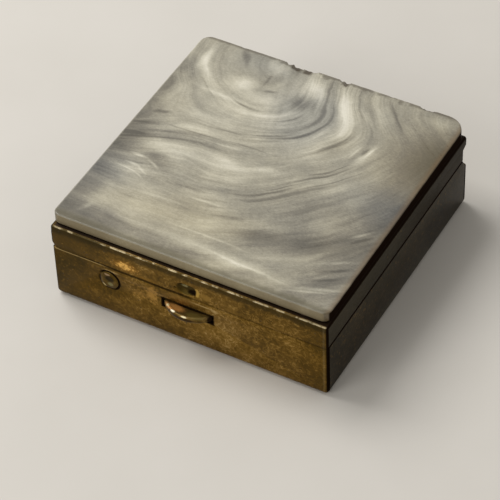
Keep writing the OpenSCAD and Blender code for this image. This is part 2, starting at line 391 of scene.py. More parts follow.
@dataclass(frozen=True)
class TarnishedBrass:
    """Folded sheet brass: brown patina with rubbed edges outside, cleaner inside, and painted highlights and
    painted shade in places.
    """

    name: str
    leaf: Leaf
    lid_patches: tuple[Patch, ...] = (
        Patch((-9.9, -22.2, 10.9), (3.6, 0.8, 1.6), 0.8, (0.1, 0.7), 0.7, "a3752b"),
        Patch((-9.9, -22.2, 10.9), (3.6, 0.8, 1.6), 3.2, (0.5, 1.0), 1.0, "efc068"),
        Patch((-7.0, -22.2, 9.9), (3.6, 0.8, 0.5), 0.0, None, 0.5, "9a7226"),
        Patch((3.1, -22.2, 10.7), (2.2, 0.8, 1.2), 1.2, (0.2, 0.9), 0.55, "a8853f"),
        # Painted highlight on the nib's right rim.
        Patch((1.7, -22.1, 10.95), (0.7, 0.6, 1.3), 0.5, (0.1, 0.5), 0.85, "c9a652"),
        # Painted shade in the hollow of the pressed nib.
        Patch((-0.15, -22.0, 10.8), (2.15, 1.6, 1.5), 0.4, (0.05, 0.35), 0.85, "3b3110"),
        # Painted highlight arc on the nib.
        Patch((-0.5, -22.0, 11.0), (0.95, 0.9, 0.4), 0.5, (0.1, 0.6), 0.85, "948b62"),
    )
    over_slot: Patch = Patch((-0.6, -22.2, 8.5), (5.6, 0.8, 1.1), 0.6, (0.1, 0.8), 0.5, "94733a")

    def outside(self, s: Shader) -> Term:
        """Tells the outer skin from the inner one.

        Args:
            s: The shader.

        Returns:
            1 on the outside.
        """
        sides = abs(s.x).rise(21.93, 22.0).most(s.y.rise(-21.93, -22.0))
        if self.leaf is Leaf.BASE:
            return sides.most(s.y.rise(21.93, 22.0)).most(s.z.rise(0.33, 0.26))
        nib = s.spot((0.0, -21.95, NIB_Z), (2.5, 0.5, 1.8)).rise(0.0, 0.15)
        return sides.most(s.y.rise(20.7, 20.85)).most(s.z.rise(13.3, 13.4)).most(nib)

    def rubbed(self, s: Shader) -> Term:
        """The folds and rims where hands have rubbed the patina off, painted pale where they catch the light,
        with painted glint lines on the base's front.

        Args:
            s: The shader.

        Returns:
            1 where the brass is bare and where highlights are painted.
        """
        ragged = s.cloud(1.1, 4.0, 0.65) - 0.5
        front = s.y.rise(-21.6, -21.9)
        upright = (s.x + ragged * 0.3).near(21.7, 0.3) * front * 0.2
        if self.leaf is Leaf.BASE:
            # Base: a painted highlight along the rubbed left rim, and painted glints above the slot and above
            # the rivet.
            held_and_lit = s.x.rise(-11.0, -14.5) * s.x.rise(-22.0, -21.5) * 0.75
            glint_lines = s.spot((2.45, -HALF_SIDE, 8.7), (2.7, 0.4, 0.2), height=1.2)
            glint_lines = glint_lines + s.spot((4.4, -HALF_SIDE, 8.5), (0.9, 0.4, 0.4))
            glint_lines = glint_lines + s.spot((-12.4, -HALF_SIDE, 8.7), (2.0, 0.4, 0.3), height=0.9)
            rim = (s.z + ragged * 0.12).near(RIM - 0.05, 0.16) * held_and_lit
            return (rim * front + glint_lines + upright).least(1.0)
        # Lid: the rubbed top fold, painted pale in flecks along its highlight.
        flecks = s.cloud(0.8, 3.0, 0.6) + abs(s.x).rise(13.0, 21.0) * 0.1 + s.x * 0.001
        fold = (s.z + ragged * 0.08).near(13.5, 0.13) * front * (flecks.rise(0.47, 0.61) * 0.85 + 0.1)
        return (fold + upright * 0.5).least(1.0)

    def dirt_and_shade(self, s: Shader) -> Term:
        """The places where grime has gathered, with painted shade in a crescent round the rivet, in the nib's
        pit and along the top of the lid's side walls.

        Args:
            s: The shader.

        Returns:
            1 where it is black.
        """
        ragged = s.cloud(2.6, 3.0) - 0.5
        front = s.y.rise(-21.7, -21.9)
        flank = abs(s.x).rise(21.98, 22.12)
        start = -15.0 if self.leaf is Leaf.BASE else -18.5
        across = s.x.rise(start, start + 2.5) * (s.x.rise(2.0, -1.0) * 0.35 + 0.1)
        seam = flank.most(front * across) * s.y.rise(21.8, 21.6)
        if self.leaf is Leaf.BASE:
            dx, dz = s.x - RIVET_X, s.z - RIVET_Z
            away = s.math("SQRT", dx * dx + dz * dz)
            # Grime and painted shadow in a crescent round the rivet's upper right.
            side = (dx * 0.8 + dz * 0.6).rise(-0.9, 0.5) * 0.9 + 0.1
            ring = abs(away - 1.64 + ragged * 0.14).rise(0.34, 0.12) * side * front
            mouth = (abs(s.x) - 4.15).most(abs(s.z - SLOT_Z) - 0.85)
            slot = (mouth + ragged * 0.3).rise(0.24, 0.02) * front * 0.8
            corner = flank * abs(s.y + ragged * 0.16).rise(21.45, 21.7) * s.z.rise(0.3, 1.2)
            return ring.most(slot).most(corner).most((s.z + ragged * 0.06).rise(9.14, 9.28) * seam)
        # Painted shade in the deepest part of the nib; a speck of grime beside it.
        pit_shade = s.spot((0.85, -21.9, 10.34), (1.5, 0.7, 0.7), height=1.2)
        speck = s.spot((-1.85, -22.2, 10.6), (0.45, 0.4, 0.35), height=0.8)
        hollow = (pit_shade + speck + ragged * 0.7).rise(0.2, 1.0) * 0.85
        # Painted shade along the top of the lid's side walls, under the slab.
        brow_shade = flank * (s.z + ragged * 0.2).rise(13.05, 13.4) * 0.95
        corner = flank * (s.y + ragged * 0.16).rise(-21.75, -21.95)
        return hollow.most(brow_shade).most(corner).most((s.z + ragged * 0.06).rise(9.74, 9.58) * seam)

    def patina(self, s: Shader, tone: Term, sides: Term, mottle: Term, drift: Term) -> bpy.types.NodeSocket:
        """Colours the outer skin: brown and gold, grey on the side walls, with the patches of its front and
        painted shade under the lid's top fold.

        Args:
            s: The shader.
            tone: How light the patina is.
            sides: 1 on the side walls.
            mottle: The fine mottling, around 0.
            drift: The broader mottling, around 0.

        Returns:
            The colour.
        """
        skin = s.ramp(tone, (0.15, "251b06"), (0.32, "44340c"), (0.46, "664c15"), (0.58, "846528"),
                      (0.72, "a5864a"), (0.9, "c6ab75"))
        grey = s.ramp(tone, (0.2, "1d1d19"), (0.5, "2f2e28"), (0.8, "403f37"))
        front = s.y.rise(-21.9, -22.1)
        if self.leaf is Leaf.LID:
            grey = s.mix(s.y.rise(16.0, -22.0) * 0.2 + 0.4, grey, "3c381f")
            skin = s.mix(sides * 0.85, skin, grey)
            for patch in self.lid_patches:
                skin = patch.lay(s, skin, mottle)
            # Painted shade under the lid's top fold.
            brow_shade = (s.z + drift * 1.4).rise(12.1, 12.9) * front
            return s.mix(brow_shade * 0.75, skin, "33290d")
        skin = s.mix(sides * 0.85, skin, grey)
        glow = s.spot((-5.6, -22.2, 7.1), (1.4, 0.8, 3.0))
        glow = glow + s.spot((-7.8, -22.2, 6.6), (2.8, 0.8, 2.4), height=0.4)
        skin = s.mix((glow + mottle * 2.4).rise(0.1, 1.0) * 0.85, skin, "ba9047")
        skin = self.over_slot.lay(s, skin, mottle)
        foot = (s.z + mottle * 0.3).rise(0.5, 0.1) * front
        return s.mix(foot * 0.7, skin, "2a1d09")

    def make(self) -> bpy.types.Material:
        """Wires the material.

        Returns:
            The brass.
        """
        s = Shader(self.name)
        large = s.cloud(0.13, 3.0)
        middle = s.cloud(0.5, 5.0, 0.6, warp=0.4)
        small = s.cloud(1.9, 5.0, 0.7)
        veins = s.cloud(0.62, 3.0, 0.6, warp=0.9).near(0.5, 0.04) * (middle + s.x * 0.008).rise(0.35, 0.55)
        mottle, drift = small - 0.5, middle - 0.5
        lively = s.x.rise(-19.5, -12.0) * 0.65 - s.x.rise(17.5, 20.5) * 0.4 + 0.35
        level = s.x.rise(-20.0, -10.0) * 0.17 - (s.x + large * 4.0).rise(17.0, 22.5) * 0.09 - 0.1
        tone = (drift * 0.28 + mottle * 0.46 + veins * 0.14) * lively + (large - 0.5) * 0.4 + level + 0.44
        sides = abs(s.x).rise(21.85, 22.12) * abs(s.y).rise(22.12, 21.85)
        bare = middle * 0.4 + large * 0.4 + small * 0.2
        inner = s.ramp(bare, (0.25, "755424"), (0.5, "987336"), (0.75, "b08e4c"))
        outside = self.outside(s)
        colour = s.mix(outside, inner, self.patina(s, tone, sides, mottle, drift))
        # Rubbed bare brass, with painted highlights and glints.
        rubbed = self.rubbed(s) * (small * 0.8 + middle * 0.8).rise(0.4, 0.85)
        colour = s.mix(rubbed * 0.85, colour, "c0b08c" if self.leaf is Leaf.LID else "c6aa72")
        specks = s.cells(1.35).rise(0.19, 0.09) * middle.rise(0.49, 0.6)
        colour = s.mix(specks * 0.7, colour, "1f1507")
        # Grime, with painted shade in places, darkens and dulls the skin.
        dirt_and_shade = self.dirt_and_shade(s)
        colour = s.mix(dirt_and_shade, colour, "0e0702")
        rough = 0.46 - tone * 0.2 + outside * 0.12 - sides * 0.12 - rubbed * 0.1 + dirt_and_shade * 0.4 + small * 0.12
        metal = 0.97 - specks * 0.3 - outside * 0.06
        film = dirt_and_shade * 0.85
        if self.leaf is Leaf.LID:
            # Painted shadow and grime on the lid's ledge in front of the slab.
            ledge_shade = (s.y + mottle * 0.2).rise(-22.03, -21.85) * s.z.rise(13.4, 13.5) * s.x.rise(-22.2, -21.4)
            colour = s.mix(ledge_shade * 0.95, colour, "1e1005")
            metal = metal - ledge_shade * 0.1
            # Painted shade on the side walls, darker towards the rear.
            film = film.most(sides * (s.y.rise(-6.0, 18.0) * 0.4 + 0.22))
        else:
            # Painted shade on the rear of the side walls.
            film = film.most(sides * s.y.rise(6.0, 18.0) * 0.25)
        lines = s.cloud(1.0, 2.0, place=s.vector("MULTIPLY", s.place, (0.35, 0.35, 9.0)))
        relief = middle * 0.5 + small * 0.35 + lines * 0.12 - dirt_and_shade * 0.3 - specks * 0.6
        return s.finish(colour, rough.least(0.95), metal, relief, depth=0.06, strength=0.7, film=film)


@dataclass(frozen=True)
class Mark:
    """A soft mark on brass: middle, half sizes, strength, colour, and whether it also lays the dull dark
    layer, for grime and for painted shade.
    """

    centre: Point
    radii: Point
    strength: float
    code: str
    grime_and_shade: bool = False


@dataclass(frozen=True)
class WornBrass:
    """Thick brass that a thumb has polished, with marks of grime and bright metal, painted glints, painted
    highlights and painted shade.
    """

    name: str
    marks: tuple[Mark, ...]
    rubbed: str = "a8894e"
    dull: str = "5f4a1e"
    dark: str = "2a1d0a"

    def make(self) -> bpy.types.Material:
        """Wires the material.

        Returns:
            The brass.
        """
        s = Shader(self.name)
        middle = s.cloud(0.9, 5.0, 0.6)
        small = s.cloud(4.0, 4.0, 0.6)
        grain = middle * 0.6 + small * 0.4
        colour = s.ramp(grain, (0.25, self.dark), (0.5, self.dull), (0.75, self.rubbed))
        bright, film = small * 0.0, small * 0.0
        fray = (small - 0.5) * 0.4
        for mark in self.marks:
            spot = (s.spot(mark.centre, mark.radii) + fray).rise(0.12, 0.6, mark.strength)
            colour = s.mix(spot, colour, mark.code)
            # Marks stronger than 0.9 are the painted glints and the tab's bright top: they get less rough and
            # far less metallic.
            if mark.strength > 0.9:
                bright = bright.most(spot)
            if mark.grime_and_shade:
                film = film.most(spot * 0.9)
        rough = small * 0.16 - bright * 0.1 + 0.32
        dull = s.spot((0.0, -22.4, 7.1), (4.6, 1.75, 0.7)).rise(0.0, 0.3, 0.7)
        metal = 0.94 - bright.most(dull) * 0.85
        return s.finish(colour, rough, metal, grain, depth=0.03, strength=0.6, film=film)


@dataclass(frozen=True)
class RolledMetal:
    """Drawn or rolled metal with fine lines along one way, and painted shade where the spring shows through
    the slot.
    """

    name: str
    light: str
    dark: str
    lines: Point
    roughness: float = 0.34

    def make(self) -> bpy.types.Material:
        """Wires the material.

        Returns:
            The metal.
        """
        s = Shader(self.name)
        drawn = s.cloud(1.0, 4.0, 0.6, place=s.vector("MULTIPLY", s.place, self.lines))
        stain = s.cloud(0.45, 5.0, 0.6)
        colour = s.ramp(drawn * 0.35 + stain * 0.65, (0.3, self.dark), (0.62, self.light))
        rough = stain * 0.3 + drawn * 0.1 + (self.roughness - 0.18)
        # Painted shade: a dark layer on the spring where it shows through the slot.
        slot_shade = s.spot((3.6, -21.0, 6.6), (2.4, 1.2, 1.8)).rise(0.0, 0.4, 0.85)
        return s.finish(colour, rough, 0.95, drawn, depth=0.012, strength=0.5, film=slot_shade)


@dataclass(frozen=True)
class Streak:
    """One drawn-out streak of the pearl, placed by ring and angle or by parts of the slab across and down."""

    along: float
    over: float
    half_along: float
    half_over: float
    height: float
    turn: float = 0.0


@dataclass(frozen=True)
class PearledPlastic:
    """Polished plastic with pearl pigment, drawn into swirls round an eye near the back."""

    name: str
    eye: tuple[float, float] = (0.31, 0.03)
    broken: tuple[tuple[float, float], ...] = ((-6.3, 1.6), (-4.2, 1.1), (2.1, 0.9))
    arcs: tuple[Streak, ...] = (
        Streak(0.235, 92, 0.009, 22, -0.26), Streak(0.284, 55, 0.009, 22, -0.28),
        Streak(0.262, 152, 0.024, 34, 0.26), Streak(0.30, 18, 0.022, 22, 0.22),
        Streak(0.345, 14, 0.022, 26, -0.2), Streak(0.338, 34, 0.016, 36, -0.22),
        Streak(0.375, 48, 0.011, 34, -0.34), Streak(0.362, 66, 0.007, 18, -0.24),
        Streak(0.395, 70, 0.012, 22, -0.18), Streak(0.44, 20, 0.058, 22, 0.4),
        Streak(0.405, 42, 0.02, 16, 0.12), Streak(0.488, 38, 0.018, 22, -0.36),
        Streak(0.425, 100, 0.012, 32, -0.22), Streak(0.462, 112, 0.012, 36, -0.2),
        Streak(0.613, 50, 0.011, 17, -0.32), Streak(0.642, 66, 0.009, 14, -0.26),
        Streak(0.67, 58, 0.016, 24, -0.3), Streak(0.592, 44, 0.007, 13, -0.24),
        Streak(0.628, 58, 0.006, 13, -0.22), Streak(0.656, 46, 0.006, 15, -0.22),
        Streak(0.53, 80, 0.035, 30, 0.12), Streak(0.87, 52, 0.014, 14, 0.08),
    )
    pools: tuple[Streak, ...] = (
        Streak(0.462, 0.17, 0.056, 0.066, -0.44), Streak(0.25, 0.165, 0.06, 0.05, 0.28, 10),
        Streak(0.33, 0.205, 0.09, 0.03, 0.14, -6), Streak(0.2, 0.25, 0.14, 0.015, 0.2, 3),
        Streak(0.47, 0.08, 0.035, 0.08, 0.22, -35), Streak(0.38, 0.03, 0.035, 0.04, -0.22),
        Streak(0.345, 0.165, 0.045, 0.011, -0.26, -21), Streak(0.305, 0.12, 0.009, 0.055, -0.16),
        Streak(0.185, 0.05, 0.02, 0.07, -0.24, -30), Streak(0.06, 0.12, 0.03, 0.14, 0.16, 4),
        Streak(0.36, 0.53, 0.13, 0.035, 0.22, 4), Streak(0.52, 0.51, 0.08, 0.022, 0.16, -12),
        Streak(0.2, 0.37, 0.12, 0.035, 0.12), Streak(0.2, 0.575, 0.16, 0.05, 0.16),
        Streak(0.07, 0.415, 0.05, 0.014, -0.3, -18), Streak(0.05, 0.485, 0.1, 0.014, -0.22, -16),
        Streak(0.03, 0.55, 0.1, 0.014, -0.3, -12), Streak(0.0, 0.61, 0.13, 0.52, -0.37),
        Streak(0.18, 0.63, 0.09, 0.05, -0.16, 22), Streak(0.08, 0.97, 0.24, 0.1, -0.26, 4),
        Streak(0.77, 0.3, 0.026, 0.1, 0.3, 12), Streak(0.762, 0.29, 0.014, 0.034, -0.34, 14),
        Streak(0.775, 0.09, 0.012, 0.12, -0.26, -38), Streak(0.735, 0.1, 0.05, 0.1, 0.12, -30),
        Streak(0.99, 0.54, 0.26, 0.2, -0.24, -20), Streak(0.97, 0.27, 0.16, 0.3, -0.1),
        Streak(0.45, 0.24, 0.75, 0.42, 0.13), Streak(0.93, 0.05, 0.08, 0.05, 0.2),
        Streak(0.84, 0.74, 0.3, 0.09, -0.26, -22), Streak(0.62, 0.79, 0.16, 0.05, -0.16, -10),
        Streak(0.77, 0.49, 0.16, 0.1, 0.14, -40), Streak(0.93, 0.64, 0.055, 0.011, 0.34, -46),
        Streak(0.945, 0.657, 0.055, 0.011, -0.3, -46), Streak(0.92, 0.785, 0.09, 0.012, 0.2, -30),
        Streak(0.93, 0.82, 0.09, 0.012, -0.22, -30), Streak(0.9, 0.935, 0.12, 0.008, 0.24, -20),
        Streak(0.91, 0.875, 0.08, 0.012, -0.2, -27), Streak(0.736, 0.3, 0.007, 0.06, 0.24, 14),
        Streak(0.782, 0.28, 0.007, 0.05, 0.24, 14), Streak(0.42, 0.73, 0.1, 0.01, 0.2, -4),
        Streak(0.28, 0.785, 0.13, 0.012, 0.18, -3), Streak(0.5, 0.865, 0.2, 0.008, 0.18, 2),
        Streak(0.33, 0.7, 0.1, 0.008, -0.14, -6), Streak(0.52, 0.76, 0.09, 0.012, -0.16, -14),
        Streak(0.08, 0.925, 0.016, 0.045, 0.2, 30), Streak(0.2, 0.455, 0.16, 0.006, -0.2, -3),
        Streak(0.42, 0.44, 0.12, 0.005, -0.18, -2), Streak(0.3, 0.405, 0.13, 0.005, -0.14, -3),
        Streak(0.36, 0.47, 0.12, 0.008, 0.14, -3), Streak(0.67, 0.31, 0.05, 0.1, -0.2, 24),
        Streak(0.0, 0.29, 0.1, 0.2, -0.18), Streak(0.2, 0.555, 0.14, 0.06, 0.14, -8),
        Streak(0.31, 0.05, 0.07, 0.05, 0.2), Streak(0.23, 0.77, 0.2, 0.08, 0.24),
        Streak(0.6, 0.925, 0.38, 0.036, 0.24, 2), Streak(0.66, 0.93, 0.24, 0.009, 0.2, 4),
        Streak(0.93, 0.91, 0.12, 0.012, 0.26, -20), Streak(0.95, 0.985, 0.1, 0.012, 0.12, -20),
        Streak(0.115, 0.635, 0.045, 0.008, 0.3, 3), Streak(0.175, 0.653, 0.045, 0.008, 0.24, 28),
        Streak(0.115, 0.679, 0.04, 0.007, 0.3, 3), Streak(0.16, 0.692, 0.035, 0.007, 0.22, 30),
        Streak(0.115, 0.702, 0.04, 0.006, 0.26, 8), Streak(0.155, 0.718, 0.035, 0.007, 0.18, 34),
    )
    warm: tuple[Streak, ...] = (
        Streak(0.99, 0.26, 0.3, 0.28, 0.6), Streak(0.28, 0.05, 0.22, 0.1, -0.35),
        Streak(0.36, 0.82, 0.45, 0.16, 0.45), Streak(0.03, 0.74, 0.2, 0.16, -0.4),
        Streak(0.96, 0.5, 0.22, 0.15, -0.5), Streak(0.5, 0.22, 0.2, 0.24, -0.6),
        Streak(0.5, 0.98, 0.6, 0.1, 0.4),
    )

    def flow(self, s: Shader) -> tuple[Term, Term, Term, Term]:
        """The rings that the pigment was drawn along.

        Args:
            s: The shader.

        Returns:
            Ring, angle in degrees, place across and place down, the last two from 0 to 1.
        """
        across = (s.x - SLAB_LOW[0]) / (SLAB_HIGH[0] - SLAB_LOW[0])
        down = (SLAB_HIGH[1] - s.y) / (SLAB_HIGH[1] - SLAB_LOW[1])
        drift = s.cloud(0.075, 2.0, 0.5) - 0.5
        ripple = s.cloud(0.3, 2.0, 0.5) - 0.5
        dx = across - self.eye[0] + drift * 0.05 + ripple * 0.014
        dv = down - self.eye[1] + drift * 0.06 - ripple * 0.014
        right, left = dx.most(0.0) * (dv.rise(0.22, -0.02) * 0.55 + 1.149), (-dx).most(0.0)
        closed = dv.rise(0.45, 0.22)
        flare = (1.0 - closed) * dv.rise(0.8, 0.5) * 1.15
        ring = s.math("SQRT", right * right + left * left * closed * 1.09 + dv * dv) - left * left * flare
        angle = s.math("ARCTAN2", dv, dx) * (180 / math.pi)
        return ring, angle, across, down

    @staticmethod
    def pour(s: Shader, start: Term, place: bpy.types.NodeSocket, streaks: Sequence[Streak]) -> Term:
        """Adds streaks to a number, one after another.

        Args:
            s: The shader.
            start: The number so far.
            place: Where the streaks are read.
            streaks: The streaks.

        Returns:
            The number with the streaks in it.
        """
        for streak in streaks:
            centre, radii = (streak.along, streak.over), (streak.half_along, streak.half_over)
            start = start + s.spot(centre, radii, streak.turn, streak.height, place)
        return start

    def make(self) -> bpy.types.Material:
        """Wires the material.

        Returns:
            The pearled plastic.
        """
        s = Shader(self.name)
        ring, angle, across, down = self.flow(s)
        track = ring.most(0.2) + (ring - 0.2).least(0.0) * 0.25
        wide = s.cloud(1.0, 3.0, 0.55, place=s.join(track * 13.0, across * 2.6, down * 2.6))
        thin = s.cloud(1.0, 4.0, 0.62, place=s.join(track * 46.0, across * 4.0, down * 4.0))
        hair = s.cloud(1.0, 2.0, 0.6, place=s.join(track * 150.0, across * 10.0, down * 10.0))
        haze = s.cloud(0.12, 4.0, 0.6)
        band, fibre, mist = wide - 0.5, thin - 0.5, haze - 0.5
        grain = s.cloud(2.7, 3.0, 0.8, place=s.vector("MULTIPLY", s.place, (1.0, 1.6, 1.0)))
        drawn = ring.rise(0.8, 0.6) * across.rise(0.95, 0.75) * 0.45 + 0.55
        drawn = drawn * (haze.rise(0.3, 0.6) * 0.5 + 0.5)
        ringed = 0.8 - across.rise(0.7, 0.82) * down.rise(0.52, 0.36) * 0.55
        tone = band * ringed + fibre * drawn * 0.58 + (hair - 0.5) * drawn * 0.22 + (grain - 0.5) * 0.44
        tone = tone + mist * 0.5 - across.rise(0.62, 1.0) * 0.18 + 0.465
        frayed = band * 0.03 + fibre * 0.008
        polar = s.join(ring + frayed, angle)
        planar = s.join(across + frayed, down - frayed)
        tone = self.pour(s, self.pour(s, tone, polar, self.arcs), planar, self.pools)
        warmth = self.pour(s, band * 0.5 + mist * 0.6 + 0.45, planar, self.warm)
        steps = (0.0, 0.28, 0.5, 0.7, 1.0)
        cool = s.ramp(tone, *zip(steps, ("5a5853", "7f7c73", "a09d91", "bdb9ab", "dedacd")))
        golden = s.ramp(tone, *zip(steps, ("5e5644", "837a66", "a69d84", "c1b99f", "e1d9c2")))
        return self.wear(s, s.mix(warmth, cool, golden), wide, thin, haze)

    def wear(self, s: Shader, colour: Value, wide: Term, thin: Term, haze: Term) -> bpy.types.Material:
        """Chafes, chips and dirties the edges, paints shade on the right face, along the foot and over the
        front ridge, and feeds the surface.

        Args:
            s: The shader.
            colour: The colour of the pigment.
            wide: The broad bands.
            thin: The narrow bands.
            haze: The soft clouds.

        Returns:
            The pearled plastic.
        """
        band, fibre, mist = wide - 0.5, thin - 0.5, haze - 0.5
        margin = (SLAB_HIGH[0] - s.x).least(s.x - SLAB_LOW[0])
        margin = margin.least((s.y - SLAB_LOW[1]).least(SLAB_HIGH[1] - s.y))
        chafed = (margin + fibre * 0.2).rise(0.34, 0.16)
        worn = chafed * s.z.rise(15.2, 15.32) * s.x.rise(21.6, 21.0)
        colour = s.mix(worn * 0.25, colour, "d8d2bd")
        face = s.y.rise(-21.3, -21.42) * s.z.rise(15.38, 15.2)
        shade = (s.y + mist * 2.0).rise(-19.8, -21.0) * (1.0 - face)
        colour = s.mix(shade * 0.65, colour, "59523a")
        rear = s.x.rise(16.0, 21.6) * (s.y + mist * 4.0).near(12.5, 9.0)
        colour = s.mix(rear * 0.6, colour, "4d4530")
        colour = s.mix(face * 0.66, colour, "84744e")
        colour = s.mix(s.z.rise(14.5, 13.9) * 0.3 + s.z.rise(15.3, 15.15) * 0.1, colour, "5f5038")
        brown = (s.x + band * 0.5).rise(20.9, 21.9) * 0.5
        colour = s.mix(brown, colour, "6b5230")
        nibbled = (s.cloud(0.45, 3.0, 0.6) - 0.5) * 3.6 * s.x.rise(-12.0, -9.0) * s.x.rise(15.0, 11.0)
        chipped = (s.y + nibbled + fibre * 0.8).rise(22.0, 22.5) * 0.55
        for x, reach in self.broken:
            chipped = chipped.most((s.y + fibre * 1.6).rise(21.4, 22.0) * s.x.near(x, reach) * 1.4)
        colour = s.mix(chipped.least(0.9), colour, "4c4234")
        # Painted shade on the slab's right face, and a dark line along its foot: cement stain and painted
        # shadow.
        stain_and_shade = s.x.rise(21.75, 21.95) * s.z.rise(15.34, 15.1) * 0.96
        stain_and_shade = stain_and_shade.most((s.z + fibre * 0.12).rise(13.92, 13.76) * 0.8)
        colour = s.mix(stain_and_shade, colour, "120903")
        grime = s.cloud(1.6, 5.0, 0.7).rise(0.62, 0.75) * margin.rise(1.6, 0.2)
        colour = s.mix(grime * 0.5, colour, "5a4c33")
        rough = fibre * 0.12 + 0.24 + chafed.most(face) * 0.3 + grime * 0.2 + s.cloud(0.5, 5.0, 0.7) * 0.12
        relief = wide * 0.5 + thin * 0.3 + s.cloud(6.0, 3.0) * 0.1
        clear = (1.0 - stain_and_shade) * (1.0 - face) * 0.15
        # A thin dark layer over the front ridge: painted shade that dims its highlight.
        ridge = s.y.rise(-21.15, -21.3) * s.z.rise(15.15, 15.25) * 0.1
        return s.finish(colour, rough, stain_and_shade * 0.9, relief, depth=0.05, strength=0.35, coat=clear,
                        film=stain_and_shade.most(ridge))


@dataclass(frozen=True)
class Cement:
    """Old brown cement."""

    name: str

    def make(self) -> bpy.types.Material:
        """Wires the material.

        Returns:
            The cement.
        """
        s = Shader(self.name)
        lumps = s.cloud(1.4, 5.0, 0.65)
        colour = s.ramp(lumps, (0.3, "120b04"), (0.5, "2c1c0b"), (0.7, "4e381b"))
        return s.finish(colour, lumps * 0.3 + 0.55, 0.0, lumps, depth=0.1)


class Finishes:
    """All finishes of the box, each wired once."""

    def __init__(self) -> None:
        """Wires them."""
        self.base = TarnishedBrass("tarnished_brass_base", Leaf.BASE).make()
        self.lid = TarnishedBrass("tarnished_brass_lid", Leaf.LID).make()
        self.tab = WornBrass("worn_brass_tab", (
            Mark((-0.2, -22.6, 7.1), (4.6, 1.9, 0.7), 0.8, "5a4720"),
            Mark((-1.8, -22.7, 7.1), (2.8, 1.2, 0.6), 0.95, "c48a48"),
            Mark((1.6, -23.0, 7.1), (2.4, 1.1, 0.6), 0.8, "75642e"),
            # Painted shade where the tab goes into the slot.
            Mark((0.4, -21.95, 7.1), (4.8, 0.34, 0.9), 0.8, "1c0d06", True),
            Mark((0.3, -24.0, 6.6), (3.6, 0.9, 0.44), 0.85, "33220c"),
            # Painted shade in the slot's right end.
            Mark((3.7, -22.3, 6.6), (0.75, 0.9, 0.9), 0.85, "2a1c0c", True),
            Mark((0.6, -23.9, 6.16), (3.0, 0.6, 0.1), 0.7, "a58a58"),
            # Painted glints on the tab's rolled lip.
            Mark((-2.85, -22.8, 7.05), (0.42, 0.4, 0.3), 0.92, "e2cf9a"),
            Mark((-1.75, -23.55, 7.05), (0.75, 0.34, 0.24), 0.97, "fbf0cf"),
            Mark((0.35, -23.95, 7.05), (0.8, 0.28, 0.24), 0.95, "efdfb0"),
        )).make()
        self.rivet = WornBrass("worn_brass_rivet", (
            Mark((-14.4, -22.4, 6.8), (0.4, 0.6, 1.8), 0.75, "35240a", True),
            Mark((-12.9, -22.4, 5.35), (1.6, 0.6, 0.34), 0.75, "35260c", True),
            # Painted shade in the upper half of the head's dish.
            Mark((-12.7, -22.5, 7.3), (1.2, 0.5, 0.95), 0.6, "30280a", True),
            # Painted light on the lower half of the dish.
            Mark((-12.6, -22.5, 6.3), (0.8, 0.5, 0.5), 0.6, "8f8a62"),
            # Painted highlight on the top of the head's rim.
            Mark((-13.1, -22.5, 8.0), (0.8, 0.5, 0.22), 0.6, "b89c80"),
            # Grime and painted shadow in the crescent at the head's upper right.
            Mark((-11.9, -22.2, 7.8), (1.5, 0.16, 1.6), 0.85, "170d04", True),
            # Painted glint on the head's lower left rim.
            Mark((-13.8, -22.35, 5.7), (0.6, 0.5, 0.6), 0.92, "d0b878"),
        ), rubbed="7f6632", dull="5a461a", dark="33270d").make()
        self.spring = RolledMetal("spring_brass", light="8f7340", dark="45351a", lines=(0.4, 1.0, 7.0)).make()
        self.wire = RolledMetal("pin_wire", light="8f8b82", dark="45413a", lines=(0.5, 6.0, 6.0)).make()
        self.pearl = PearledPlastic("pearled_plastic").make()
        self.cement = Cement("cement").make()


# Workbench


class Kind(Enum):
    """What is picked in edit mode."""

    VERTEX = "VERT"
    EDGE = "EDGE"
    FACE = "FACE"


class Join(Enum):
    """What one piece does to another."""

    CUT = "DIFFERENCE"
    WELD = "UNION"


